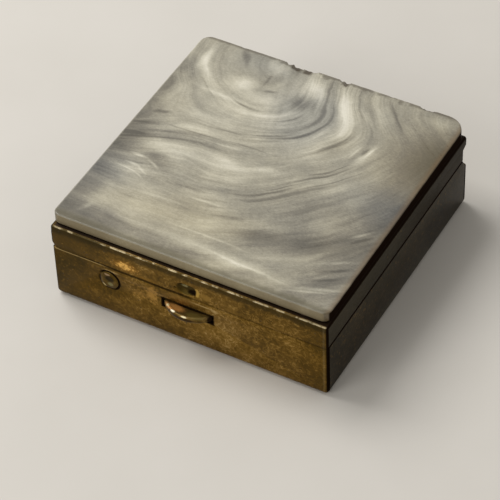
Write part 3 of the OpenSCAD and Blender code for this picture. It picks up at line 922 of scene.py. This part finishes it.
class Bench:
    """The workbench: holds one piece, which is shaped in millimetres and brought to metres when finished."""

    def __init__(self, name: str) -> None:
        """Clears the bench.

        Args:
            name: The name of the piece that is made on it.
        """
        self.name = name
        self.piece: bpy.types.Object | None = None
        for other in list(bpy.context.selected_objects):
            other.select_set(False)

    def adopt(self) -> "Bench":
        """Takes the new primitive as the piece, with its place put into its mesh.

        Returns:
            The bench.
        """
        self.piece = bpy.context.object
        self.piece.name = self.piece.data.name = self.name
        bpy.ops.object.transform_apply(location=True, rotation=True, scale=True)
        return self

    def block(self, low: Sequence[float], high: Sequence[float]) -> "Bench":
        """Starts from a block.

        Args:
            low: Its lowest corner.
            high: Its highest corner.

        Returns:
            The bench.
        """
        a, b = Vector(low), Vector(high)
        bpy.ops.mesh.primitive_cube_add(size=1, location=(a + b) / 2, scale=b - a)
        return self.adopt()

    def rod(self, radius: float, low: Sequence[float], high: Sequence[float], sides: int = 64) -> "Bench":
        """Starts from a round rod.

        Args:
            radius: Its radius.
            low: The middle of one end.
            high: The middle of the other end.
            sides: Its number of sides.

        Returns:
            The bench.
        """
        a, b = Vector(low), Vector(high)
        turn = (b - a).to_track_quat("Z", "Y").to_euler()
        bpy.ops.mesh.primitive_cylinder_add(vertices=sides, radius=radius, depth=(b - a).length,
                                            location=(a + b) / 2, rotation=turn)
        return self.adopt()

    def __enter__(self) -> "Bench":
        """Opens the piece in edit mode with nothing selected.

        Returns:
            The bench.
        """
        bpy.context.view_layer.objects.active = self.piece
        self.piece.select_set(True)
        bpy.ops.object.mode_set(mode="EDIT")
        bpy.ops.mesh.select_all(action="DESELECT")
        return self

    def __exit__(self, *_: object) -> None:
        """Leaves edit mode."""
        bpy.ops.object.mode_set(mode="OBJECT")

    def pick(self, kind: Kind, test: Test) -> None:
        """Selects vertices, edges or faces in edit mode.

        Args:
            kind: Which of them.
            test: Told a vertex's place, an edge's two ends, or a face's middle and normal.
        """
        bpy.ops.mesh.select_all(action="DESELECT")
        bpy.ops.mesh.select_mode(type=kind.value)
        mesh = bmesh.from_edit_mesh(self.piece.data)
        if kind is Kind.VERTEX:
            parts = [(v, (v.co.copy(),)) for v in mesh.verts]
        elif kind is Kind.EDGE:
            parts = [(e, tuple(v.co.copy() for v in e.verts)) for e in mesh.edges]
        else:
            parts = [(f, (f.calc_center_median(), f.normal)) for f in mesh.faces]
        for part, told in parts:
            part.select = bool(test(*told))
        mesh.select_flush_mode()
        bmesh.update_edit_mesh(self.piece.data)

    def bevel(self, test: Test, width: float, steps: int) -> None:
        """Rounds the edges whose two ends pass a test, in edit mode."""
        self.pick(Kind.EDGE, test)
        bpy.ops.mesh.bevel(offset=width, offset_type="OFFSET", segments=steps, profile=0.5, affect="EDGES")

    def split(self, test: Test, place: Sequence[float], normal: Sequence[float]) -> None:
        """Cuts the faces that pass a test along a plane, in edit mode."""
        self.pick(Kind.FACE, test)
        bpy.ops.mesh.bisect(plane_co=place, plane_no=normal, threshold=FINE)

    def trim(self, place: Sequence[float], normal: Sequence[float]) -> None:
        """Cuts off what lies on a plane's normal side and closes the cut, in edit mode."""
        bpy.ops.mesh.select_all(action="SELECT")
        bpy.ops.mesh.bisect(plane_co=place, plane_no=normal, use_fill=True, clear_outer=True, threshold=FINE)

    def move(self, test: Test, step: Sequence[float]) -> None:
        """Moves the vertices that pass a test, in edit mode."""
        self.pick(Kind.VERTEX, test)
        bpy.ops.transform.translate(value=step)

    def dish(self, test: Test, profile: Sequence[tuple[float, float]]) -> None:
        """Insets a face again and again, in edit mode.

        Args:
            test: Told a face's middle and normal.
            profile: The inset and the rise of each ring.
        """
        self.pick(Kind.FACE, test)
        for inset, rise in profile:
            bpy.ops.mesh.inset(thickness=inset, depth=rise)

    def modify(self, kind: str, **settings: object) -> "Bench":
        """Adds a modifier and applies it.

        Args:
            kind: The modifier's type.
            **settings: Its settings.

        Returns:
            The bench.
        """
        bpy.context.view_layer.objects.active = self.piece
        made = self.piece.modifiers.new(kind.lower(), kind)
        for name, value in settings.items():
            setattr(made, name, value)
        bpy.ops.object.modifier_apply(modifier=made.name)
        return self

    def cut(self, tool: "Bench", join: Join = Join.CUT) -> "Bench":
        """Cuts another piece out of this one, or welds it on, and removes that piece.

        Args:
            tool: The bench with the other piece.
            join: Whether it is cut out or welded on.

        Returns:
            The bench.
        """
        self.modify("BOOLEAN", object=tool.piece, operation=join.value, solver="EXACT")
        bpy.data.objects.remove(tool.piece)
        return self

    def soften(self, width: float, angle: float = 35.0) -> "Bench":
        """Rounds all edges that are sharper than an angle in degrees, and gives the bench."""
        return self.modify("BEVEL", width=width, segments=2, limit_method="ANGLE",
                           angle_limit=math.radians(angle), use_clamp_overlap=False)

    def slit(self, end: int, fold: float, size: tuple[float, float], foot: float, top: float) -> None:
        """Cuts the upright seams of two butted corners into the side walls.

        Args:
            end: -1 for the front corners, 1 for the rear ones.
            fold: The radius of the corners.
            size: Width and depth of the seams.
            foot: Their lower end.
            top: Their upper end.
        """
        wide, deep = size
        middle = end * (HALF_SIDE - fold - SEAM_INSET)
        for side in (-1, 1):
            left, right = sorted((side * (HALF_SIDE - deep), side * (HALF_SIDE + 1)))
            self.cut(Bench("slit").block((left, middle - wide / 2, foot), (right, middle + wide / 2, top)))

    def shape(self, change: Callable[[Vector], Vector]) -> None:
        """Moves every vertex by a rule, which is told its place and gives the new one."""
        for vertex in self.piece.data.vertices:
            vertex.co = change(vertex.co.copy())

    def finish(self, material: bpy.types.Material, body: str, slot: str, *nodes: str,
               angle: float = 35.0) -> None:
        """Shades the piece, gives it its material and fixes it to its body.

        Args:
            material: What it is made of.
            body: The body that carries it.
            slot: The record's material slot; not used.
            *nodes: The CAD nodes that it stands for.
            angle: Edges sharper than this many degrees stay sharp.
        """
        with self:
            bpy.ops.mesh.select_all(action="SELECT")
            bpy.ops.mesh.remove_doubles(threshold=0.001)
            bpy.ops.mesh.select_all(action="SELECT")
            bpy.ops.mesh.normals_make_consistent(inside=False)
        self.piece.scale = (MM, MM, MM)
        bpy.ops.object.transform_apply(location=False, rotation=False, scale=True)
        bpy.ops.object.shade_smooth_by_angle(angle=math.radians(angle))
        self.piece.data.materials.append(material)
        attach(self.piece, body)
        if nodes:
            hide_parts(*nodes)
        LOG.info("%s: %d faces on %s", self.name, len(self.piece.data.polygons), body)


# Sub-assemblies


@dataclass
class Hinge:
    """Rolled knuckles of both leaves round one pin. Sizes are in millimetres."""

    y: float = 21.35
    z: float = 8.75
    outer: float = 0.9
    width: float = 41.0
    count: int = 5
    gap: float = 0.12
    roll: float = 338.0
    facets: int = 30

    def spans(self, leaf: Leaf) -> list[tuple[float, float]]:
        """The knuckles of one leaf.

        Args:
            leaf: The leaf.

        Returns:
            Left and right end of each.
        """
        first = 0 if leaf is Leaf.BASE else 1
        pitch = (self.width + self.gap) / self.count
        starts = [-self.width / 2 + i * pitch for i in range(first, self.count, 2)]
        return [(start, start + pitch - self.gap) for start in starts]

    def curl(self, bench: Bench, leaf: Leaf, edge: Test, steps: Sequence[Sequence[float]]) -> None:
        """Draws tongues out of a wall's edge and rolls them round the pin.

        Args:
            bench: The bench with the leaf.
            leaf: The leaf.
            edge: Test for the faces along the wall's edge.
            steps: The moves from the wall to the start of the roll.
        """
        with bench:
            for left, right in self.spans(leaf):
                for x in (left, right):
                    bench.split(edge, (x, 0, 0), (1, 0, 0))
            for left, right in self.spans(leaf):
                bench.pick(Kind.FACE, lambda c, n: edge(c, n) and left - TINY < c.x < right + TINY)
                for step in steps:
                    bpy.ops.mesh.extrude_region_move(TRANSFORM_OT_translate={"value": step})
                bpy.ops.mesh.spin(steps=self.facets, angle=-math.radians(self.roll), axis=(1, 0, 0),
                                  center=(0, self.y, self.z))
            bpy.ops.mesh.select_all(action="SELECT")
            bpy.ops.mesh.normals_make_consistent(inside=False)


@dataclass
class BaseTray:
    """Folded tray with butted corners, the thumb slot, the rivet's seat and the outer knuckles."""

    half: float = HALF_SIDE
    height: float = RIM
    sheet: float = SHEET
    corner: float = 0.4
    fold: float = 0.9
    rear_top: float = 7.6
    notch: float = 2.15
    slot: tuple[float, float] = (8.3, 1.7)
    slot_r: float = 0.28
    seat: Point = (1.67, 0.1, 0.78)
    slit: tuple[float, float] = (0.09, 0.2)
    slit_foot: float = 0.55
    edge_r: float = 0.045
    hinge: Hinge = field(default_factory=Hinge)

    def shell(self) -> Bench:
        """Folds the sheet.

        Returns:
            The bench with the open tray.
        """
        h, top = self.half, self.height
        bench = Bench("base_tray_dressed").block((-h, -h, 0), (h, h, top))
        with bench:
            bench.bevel(lambda a, b: max(a.z, b.z) < TINY, self.fold, 6)
            bench.bevel(lambda a, b: all(abs(abs(p.x) - abs(p.y)) < 0.001 for p in (a, b)) and a.x * b.x > 0
                        and a.y * b.y > 0, self.corner, 4)
        t = self.sheet
        room = Bench("room").block((t - h, t - h, t), (h - t, h - t, top + 1))
        with room:
            room.bevel(lambda a, b: max(a.z, b.z) < t + TINY, self.fold - t, 4)
        return bench.cut(room)

    def cuts(self, bench: Bench) -> None:
        """Cuts the rear wall down, the slot, the rivet's seat and hole, and the butted corners.

        Args:
            bench: The bench with the tray.
        """
        h, top, t = self.half, self.height, self.sheet
        rear = Bench("rear").block((-h - 1, h - self.notch, self.rear_top), (h + 1, h + 1, top + 1))
        with rear:
            rear.move(lambda p: p.y < h - 1 and p.z < top, (0, self.notch - t, 0))
        bench.cut(rear)
        wide, high = self.slot
        slot = Bench("slot").block((-wide / 2, -h - 1, SLOT_Z - high / 2),
                                   (wide / 2, -h + 1, SLOT_Z + high / 2))
        with slot:
            slot.bevel(lambda a, b: abs(a.y - b.y) > 1, self.slot_r, 4)
        bench.cut(slot)
        radius, deep, hole = self.seat
        outside = (RIVET_X, -h - 1, RIVET_Z)
        bench.cut(Bench("seat").rod(radius, outside, (RIVET_X, -h + deep, RIVET_Z)))
        bench.cut(Bench("hole").rod(hole, outside, (RIVET_X, -h + 1, RIVET_Z), 32))
        for end, high in ((-1, top + 1), (1, self.rear_top + 1.2)):
            bench.slit(end, self.corner, self.slit, self.slit_foot, high)

    def build(self, finishes: Finishes) -> None:
        """Makes the tray.

        Args:
            finishes: The finishes.
        """
        bench = self.shell()
        self.cuts(bench)
        inner = self.half - self.sheet
        edge: Test = lambda c, n: n.z > 0.9 and abs(c.z - self.rear_top) < TINY and c.y > inner
        self.hinge.curl(bench, Leaf.BASE, edge, [(0, 0, self.hinge.z - self.rear_top)])
        bench.soften(self.edge_r)
        bench.finish(finishes.base, "base", "tarnished_brass", "base_tray")


@dataclass
class LidShell:
    """Folded shell of the lid with its stepped rear wall, the pressed nib and the inner knuckles."""

    half: float = HALF_SIDE
    low: float = 9.46
    high: float = LID_TOP
    sheet: float = SHEET
    fold: float = 0.4
    rear_fold: float = 0.8
    band_y: float = 22.05
    rear_y: float = 21.05
    band_z: float = 11.91
    step_z: float = 11.46
    relief_z: float = 9.6725
    web: tuple[float, float] = (0.25, 0.45)
    rim_r: float = 0.03
    nib: Point = (3.4, 2.2, 0.5)
    tuck: Point = (0.34, 0.13, 0.09)
    nib_cuts: int = 7
    slit: tuple[float, float] = (0.08, 0.16)
    hinge: Hinge = field(default_factory=Hinge)

    def press(self, place: Vector) -> Vector:
        """Presses the nib into the front, deepest towards its right end, and tucks in the left corner.

        Args:
            place: A vertex.

        Returns:
            Its new place.
        """
        wide, high, deep = self.nib
        moved = place.copy()
        if place.y < -self.half + self.sheet + 0.02 and abs(place.x) < 2.5 and place.z < 12.1:
            straight = (wide - high) / 2
            across = max(abs(place.x) - straight, 0.0)
            far = math.hypot(across, place.z - NIB_Z) / (high / 2)
            if far < 1.0:
                bowl = (1 - far * far) ** 1.15
                lean = 1.0 + 0.12 * max(-1.0, min(1.0, place.x / 1.2))
                moved.y += min(deep * 1.05, deep * 1.3 * bowl * lean)
            ring = max(0.0, 1 - abs(far - 1.08) / 0.14)
            moved.y += 0.05 * ring if far > 1.0 else 0.0
        if place.y < -21.0 and place.x < -21.0:
            low = max(0.0, min(1.0, 10.5 - place.z)) ** 1.5
            along, back, out = self.tuck
            moved.x += along * low - out * max(0.0, min(1.0, 13.4 - place.z))
            moved.y += back * low
        return moved

    def form(self, name: str, inset: float) -> Bench:
        """Makes the block that fills the lid's outside or, inset by the sheet, its inside.

        Args:
            name: The name of the piece.
            inset: How far its walls lie inside the lid's.

        Returns:
            The bench with the block.
        """
        h, y, rear, top = (size - inset for size in (self.half, self.band_y, self.rear_y, self.high))
        band, step = self.band_z + 0.65 * inset, self.step_z + 0.65 * inset
        bench = Bench(name).block((-h, -h, self.low - inset), (h, y, top))
        with bench:
            for z in (band, step):
                bench.split(lambda c, n: True, (0, 0, z), (0, 0, 1))
            bench.move(lambda p: p.y > 0 and p.z < step + TINY, (0, rear - y, 0))
            bench.bevel(lambda a, b: min(a.z, b.z) > top - TINY and min(a.y, b.y) > 0,
                        self.rear_fold - inset, 6)
            if not inset:
                side: Test = lambda a, b: min(abs(a.x), abs(b.x)) > h - TINY and a.x * b.x > 0
                level: Test = lambda a, b: abs(a.z - b.z) < 0.02
                upper: Test = lambda a, b: min(a.z, b.z) > top - TINY
                front: Test = lambda a, b: max(a.y, b.y) < -h + TINY
                bench.bevel(lambda a, b: (side(a, b) and (upper(a, b) or not level(a, b)))
                            or (upper(a, b) and front(a, b)), self.fold, 4)
        return bench

    def refine(self, bench: Bench) -> None:
        """Divides the front where the nib goes, and the walls round the left corner.

        Args:
            bench: The bench with the shell.
        """
        walls: Test = lambda c, n: abs(n.z) < 0.5 and (c.y < -20.0 or c.x < -20.0)
        front: Test = lambda c, n: abs(n.y) > 0.99 and c.y < -21.5 and c.z < self.high - 0.3
        with bench:
            for z in (9.8, 10.15, 10.5, 11.2, 12.2):
                bench.split(walls, (0, 0, z), (0, 0, 1))
            for x in (-21.0, -3.0, -1.5, 0.0, 1.5, 3.0):
                bench.split(front, (x, 0, 0), (1, 0, 0))
            bench.pick(Kind.FACE, lambda c, n: front(c, n) and abs(c.x) < 2.9 and 9.55 < c.z < 12.15)
            bpy.ops.mesh.subdivide(number_cuts=self.nib_cuts)

    def build(self, finishes: Finishes) -> None:
        """Makes the shell.

        Args:
            finishes: The finishes.
        """
        bench = self.form("lid_shell_dressed", 0.0).cut(self.form("room", self.sheet))
        with bench:
            bench.bevel(lambda a, b: max(a.z, b.z) < self.low + TINY, self.rim_r, 2)
        edge = self.relief_z
        reach = self.hinge.width / 2 + self.hinge.gap
        bench.cut(Bench("relief").block((-reach, self.rear_y - 1, self.low - 1),
                                        (reach, self.rear_y + 1, edge)))
        inner = self.rear_y - self.sheet
        back = self.hinge.y - self.hinge.outer - inner
        drop, slope = self.web
        self.hinge.curl(bench, Leaf.LID, lambda c, n: n.z < -0.9 and abs(c.z - edge) < TINY and c.y > inner,
                        [(0, 0, -drop), (0, back, -slope), (0, 0, self.hinge.z - edge + drop + slope)])
        bench.slit(-1, self.fold, self.slit, self.low - 1, self.high - 0.5)
        self.refine(bench)
        bench.shape(self.press)
        bench.finish(finishes.lid, "lid", "tarnished_brass", "lid_shell")


@dataclass(frozen=True)
class Chip:
    """A flake broken from the slab's edge: middle, half length, depth down and in."""

    x: float
    reach: float
    down: float
    inward: float


@dataclass
class PearlSlab:
    """Slab with rounded corners, a chafed upper edge and chips along the back."""

    low: Point = SLAB_LOW
    high: Point = SLAB_HIGH
    front_r: float = 1.3
    rear_r: tuple[float, float] = (1.7, 3.2)
    edge_r: float = 0.2
    foot_r: float = 0.12
    cuts: tuple[int, int] = (219, 69)
    chips: tuple[Chip, ...] = (
        Chip(-7.6, 0.8, 0.18, 0.8), Chip(-6.2, 0.7, 0.26, 0.9), Chip(-5.3, 0.5, 0.3, 0.7),
        Chip(-4.2, 0.8, 0.22, 0.9), Chip(-3.3, 0.5, 0.26, 0.6), Chip(1.3, 0.4, 0.2, 0.5),
        Chip(2.1, 0.6, 0.22, 0.6), Chip(9.4, 0.5, 0.12, 0.3), Chip(15.4, 1.3, 0.25, 0.5),
        Chip(-15.5, 0.4, 0.12, 0.3))

    def wear(self, place: Vector) -> Vector:
        """Chips and chafes the upper edge.

        Args:
            place: A vertex.

        Returns:
            Its new place.
        """
        moved = place.copy()
        x, y, z = place
        margin = min(x - self.low[0], self.high[0] - x, y - self.low[1], self.high[1] - y)
        if margin < 1.6:
            ripple = noise.noise(Vector((x * 0.8, y * 0.8, 3.0)))
            ripple += 0.5 * noise.noise(Vector((x * 2.4, y * 2.4, 7.0)))
            if abs(x + 0.15) > abs(y - 0.67):
                inward = Vector((-1 if x > 0 else 1, 0, 0))
            else:
                inward = Vector((0, -1 if y > 0 else 1, 0))
            high = max(0.0, (z - 14.6) / 0.8)
            moved += inward * (0.035 + 0.045 * ripple) * min(1.0, high) * max(0.0, 1 - margin)
        for chip in self.chips:
            across = (x - chip.x) / chip.reach
            back = (self.high[1] - y) / (chip.inward * 1.25)
            down = (self.high[2] - z) / (chip.down * 1.4)
            near = 1 - (across * across + back * back + down * down)
            if near > 0:
                jag = 0.75 + 0.5 * noise.noise(Vector((x * 5.0, y * 5.0, z * 5.0)))
                bite = math.sqrt(near) * jag * max(0.0, min(1.0, (1.02 - margin) * 4))
                moved.z -= chip.down * bite * max(0.0, 1 - down * 0.5)
                moved.y -= chip.inward * bite * max(0.0, 1 - back * 0.8) * 0.8
        moved.z = max(moved.z, self.low[2] + 0.1) if z > self.low[2] + 0.2 else moved.z
        return moved

    def build(self, finishes: Finishes) -> None:
        """Makes the slab.

        Args:
            finishes: The finishes.
        """
        bench = Bench("pearl_slab_dressed").block(self.low, self.high)
        top = self.high[2]
        with bench:
            bench.bevel(lambda a, b: abs(a.z - b.z) > 1 and a.y < 0, self.front_r, 8)
            for side, radius in zip((-1, 1), self.rear_r):
                bench.bevel(lambda a, b: abs(a.z - b.z) > 1 and a.y > 5 and a.x * side > 5, radius, 8)
            rear: Test = lambda a, b: min(a.y, b.y) > self.high[1] - TINY and abs(a.x - b.x) > 9
            for cuts, test in zip(self.cuts, (rear, lambda a, b: (a - b).length > 9)):
                bench.pick(Kind.EDGE, test)
                bpy.ops.mesh.subdivide(number_cuts=cuts)
            bench.bevel(lambda a, b: min(a.z, b.z) > top - TINY, self.edge_r, 5)
            bench.bevel(lambda a, b: max(a.z, b.z) < self.low[2] + TINY, self.foot_r, 2)
            bench.dish(lambda c, n: n.z > 0.99 and c.z > top - TINY and abs(c.x) < 1, [(0.13, 0.0)] * 5)
        bench.shape(self.wear)
        bench.finish(finishes.pearl, "lid", "pearled_plastic", "pearl_slab", angle=50.0)


@dataclass
class CementBed:
    """Bed of old cement, squeezed out unevenly under the slab."""

    low: Point = (-21.6, -21.25, LID_TOP)
    high: Point = (21.6, 21.0, SLAB_LOW[2])
    corner_r: float = 0.8
    cuts: int = 79
    wander: float = 0.009

    def spread(self, place: Vector) -> Vector:
        """Draws the edge in and out.

        Args:
            place: A vertex.

        Returns:
            Its new place.
        """
        wave = noise.noise(place * 0.7) + 0.5 * noise.noise(place * 2.1)
        stretch = 1 + self.wander * wave
        return Vector((place.x * stretch, place.y * stretch, place.z))

    def build(self, finishes: Finishes) -> None:
        """Makes the bed.

        Args:
            finishes: The finishes.
        """
        bench = Bench("cement_bed_dressed").block(self.low, self.high)
        with bench:
            bench.bevel(lambda a, b: abs(a.z - b.z) > 0.05, self.corner_r, 3)
            bench.pick(Kind.EDGE, lambda a, b: (a - b).length > 9)
            bpy.ops.mesh.subdivide(number_cuts=self.cuts)
        bench.shape(self.spread)
        bench.finish(finishes.cement, "lid", "cement", "slab_cement")


@dataclass
class Latch:
    """The thumb tab and the rivet that holds the leaf spring."""

    tab_r: float = 5.0
    tab_t: float = 0.95
    tab_y: float = -19.0
    tab_half: float = 3.9
    tab_back: float = -21.75
    lip_r: float = 0.28
    lip: tuple[tuple[float, float], ...] = ((0.16, 0.0), (0.1, -0.09), (0.14, -0.06))
    rivet: Point = (RIVET_X, -22.15, RIVET_Z)
    head_r: float = 1.55
    rim: float = 0.14
    dome: float = 0.3
    hollow: tuple[float, float] = (0.95, 0.2)
    head_rings: tuple[float, ...] = (1.5, 1.4, 1.28, 1.16, 1.06, 0.98, 0.9, 0.8, 0.65, 0.5, 0.35, 0.2, 0.08)
    shank_r: float = 0.75
    grip: float = 0.7
    tail_r: float = 1.2
    tail: float = 0.32
    tail_rings: tuple[float, ...] = (1.15, 1.0, 0.8, 0.6, 0.4, 0.2)

    def tab(self, finishes: Finishes) -> None:
        """Makes the half moon with its rolled lip.

        Args:
            finishes: The finishes.
        """
        z0, z1 = SLOT_Z - self.tab_t / 2, SLOT_Z + self.tab_t / 2
        bench = Bench("thumb_tab_dressed").rod(self.tab_r, (0, self.tab_y, z0), (0, self.tab_y, z1), 128)
        with bench:
            bench.bevel(lambda a, b: abs(a.z - b.z) < TINY, self.lip_r, 5)
            bench.dish(lambda c, n: n.z > 0.99 and c.z > z1 - TINY, self.lip)
            bench.trim((0, self.tab_back, 0), (0, 1, 0))
            for side in (1, -1):
                bench.trim((side * self.tab_half, 0, 0), (side, 0, 0))
        bench.soften(0.04).finish(finishes.tab, "latch", "worn_brass", "thumb_tab")

    def cap(self, radius: float, dome: float, rings: Sequence[float],
            hollow: tuple[float, float] = (0.0, 0.0)) -> list[tuple[float, float]]:
        """Works out the rings of a domed head.

        Args:
            radius: The head's radius.
            dome: Height of its dome over the straight rim.
            rings: The radius of each ring, from outside in.
            hollow: Radius and depth of the dish in the middle.

        Returns:
            Inset and rise of each ring.
        """
        ball = (radius ** 2 + dome ** 2) / (2 * dome)

        def height(r: float) -> float:
            """Height over the rim at a distance from the middle."""
            sunk = hollow[1] * max(0.0, 1 - (r / hollow[0]) ** 2) if hollow[0] else 0.0
            return math.sqrt(ball ** 2 - r ** 2) - (ball - dome) - sunk

        steps, before = [], radius
        for r in rings:
            steps.append((before - r, height(r) - height(before)))
            before = r
        return steps

    def rivet_piece(self, finishes: Finishes) -> None:
        """Makes the rivet: shank, dished head outside, closed end inside.

        Args:
            finishes: The finishes.
        """
        x, y, z = self.rivet
        bench = Bench("spring_rivet_dressed").rod(self.head_r, (x, y, z), (x, y - self.rim, z))
        with bench:
            bench.dish(lambda c, n: n.y < -0.9,
                       self.cap(self.head_r, self.dome, self.head_rings, self.hollow))
        tail = Bench("tail").rod(self.tail_r, (x, y + self.grip, z), (x, y + self.grip + self.tail / 2, z))
        with tail:
            tail.dish(lambda c, n: n.y > 0.9, self.cap(self.tail_r, self.tail / 2, self.tail_rings))
        shank = Bench("shank").rod(self.shank_r, (x, y - 0.03, z), (x, y + self.grip + 0.03, z), 48)
        bench.cut(shank, Join.WELD).cut(tail, Join.WELD)
        bench.soften(0.03, 50.0)
        bench.finish(finishes.rivet, "base", "worn_brass", "spring_rivet", angle=40.0)

    def build(self, finishes: Finishes) -> None:
        """Makes the tab and the rivet, and dresses the spring.

        Args:
            finishes: The finishes.
        """
        self.tab(finishes)
        self.rivet_piece(finishes)
        for name in ("spring_foot", "spring_arm"):
            dress(name, finishes.spring)


def dress(name: str, material: bpy.types.Material) -> None:
    """Gives a CAD node its material.

    Args:
        name: The node.
        material: What it is made of.
    """
    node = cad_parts[name]
    node.data.materials.clear()
    node.data.materials.append(material)
    LOG.info("%s: CAD shape in %s", name, material.name)


# Stage


@dataclass
class Stage:
    """Pale floor, soft lamps and the camera."""

    floor_tint: str = "cbc6bd"
    paper_tint: str = "d3cec6"
    camera_place: Point = (134.05, -231.37, 262.65)
    camera_turn: Point = (45.4103, 1.6670, 28.9094)
    lens: float = 182.162

    def floor(self) -> None:
        """Lays the floor."""
        bpy.ops.mesh.primitive_plane_add(size=3.0, location=(0, 0, -0.00002))
        piece = bpy.context.object
        piece.name = "floor"
        s = Shader("floor_paper")
        grain = s.cloud(0.05, 3.0)
        colour = s.mix(grain, tint(self.floor_tint), self.paper_tint)
        piece.data.materials.append(s.finish(colour, 0.7, 0.0))

    def lamp(self, name: str, place: Point, size: float, power: float) -> None:
        """Hangs a square soft lamp that looks at the box.

        Args:
            name: The lamp's name.
            place: Where it hangs, in metres.
            size: Its side, in metres.
            power: Its power, in watts.
        """
        data = bpy.data.lights.new(name, "AREA")
        data.size, data.energy = size, power
        lamp = bpy.data.objects.new(name, data)
        bpy.context.scene.collection.objects.link(lamp)
        lamp.location = place
        lamp.rotation_euler = (Vector((0, 0, 0.01)) - Vector(place)).to_track_quat("-Z", "Y").to_euler()

    def sky(self) -> None:
        """Sets the soft light from all round."""
        world = bpy.data.worlds.new("studio")
        bpy.context.scene.world = world
        world.use_nodes = True
        back = world.node_tree.nodes["Background"]
        back.inputs["Color"].default_value = (1.0, 0.985, 0.95, 1.0)
        back.inputs["Strength"].default_value = 0.42

    def camera(self) -> None:
        """Sets the camera where the photograph was taken."""
        data = bpy.data.cameras.new("camera")
        data.lens, data.sensor_width = self.lens, 36.0
        data.clip_start, data.clip_end = 0.01, 10.0
        camera = bpy.data.objects.new("camera", data)
        bpy.context.scene.collection.objects.link(camera)
        camera.location = Vector(self.camera_place) * MM
        camera.rotation_euler = [math.radians(turn) for turn in self.camera_turn]
        bpy.context.scene.camera = camera

    def build(self) -> None:
        """Builds the whole stage."""
        self.floor()
        self.lamp("window", (-0.34, 0.06, 0.48), 0.36, 2.5)
        self.lamp("front_fill", (-0.22, -0.50, 0.34), 0.3, 1.0)
        self.sky()
        self.camera()
        bpy.context.scene.view_settings.view_transform = "Standard"


def main() -> None:
    """Builds the box and its stage."""
    logging.basicConfig(level=logging.INFO, format="%(message)s")
    Stage().build()
    finishes = Finishes()
    BaseTray().build(finishes)
    LidShell().build(finishes)
    PearlSlab().build(finishes)
    CementBed().build(finishes)
    Latch().build(finishes)
    dress("hinge_pin", finishes.wire)


if __name__ == "__main__":
    main()
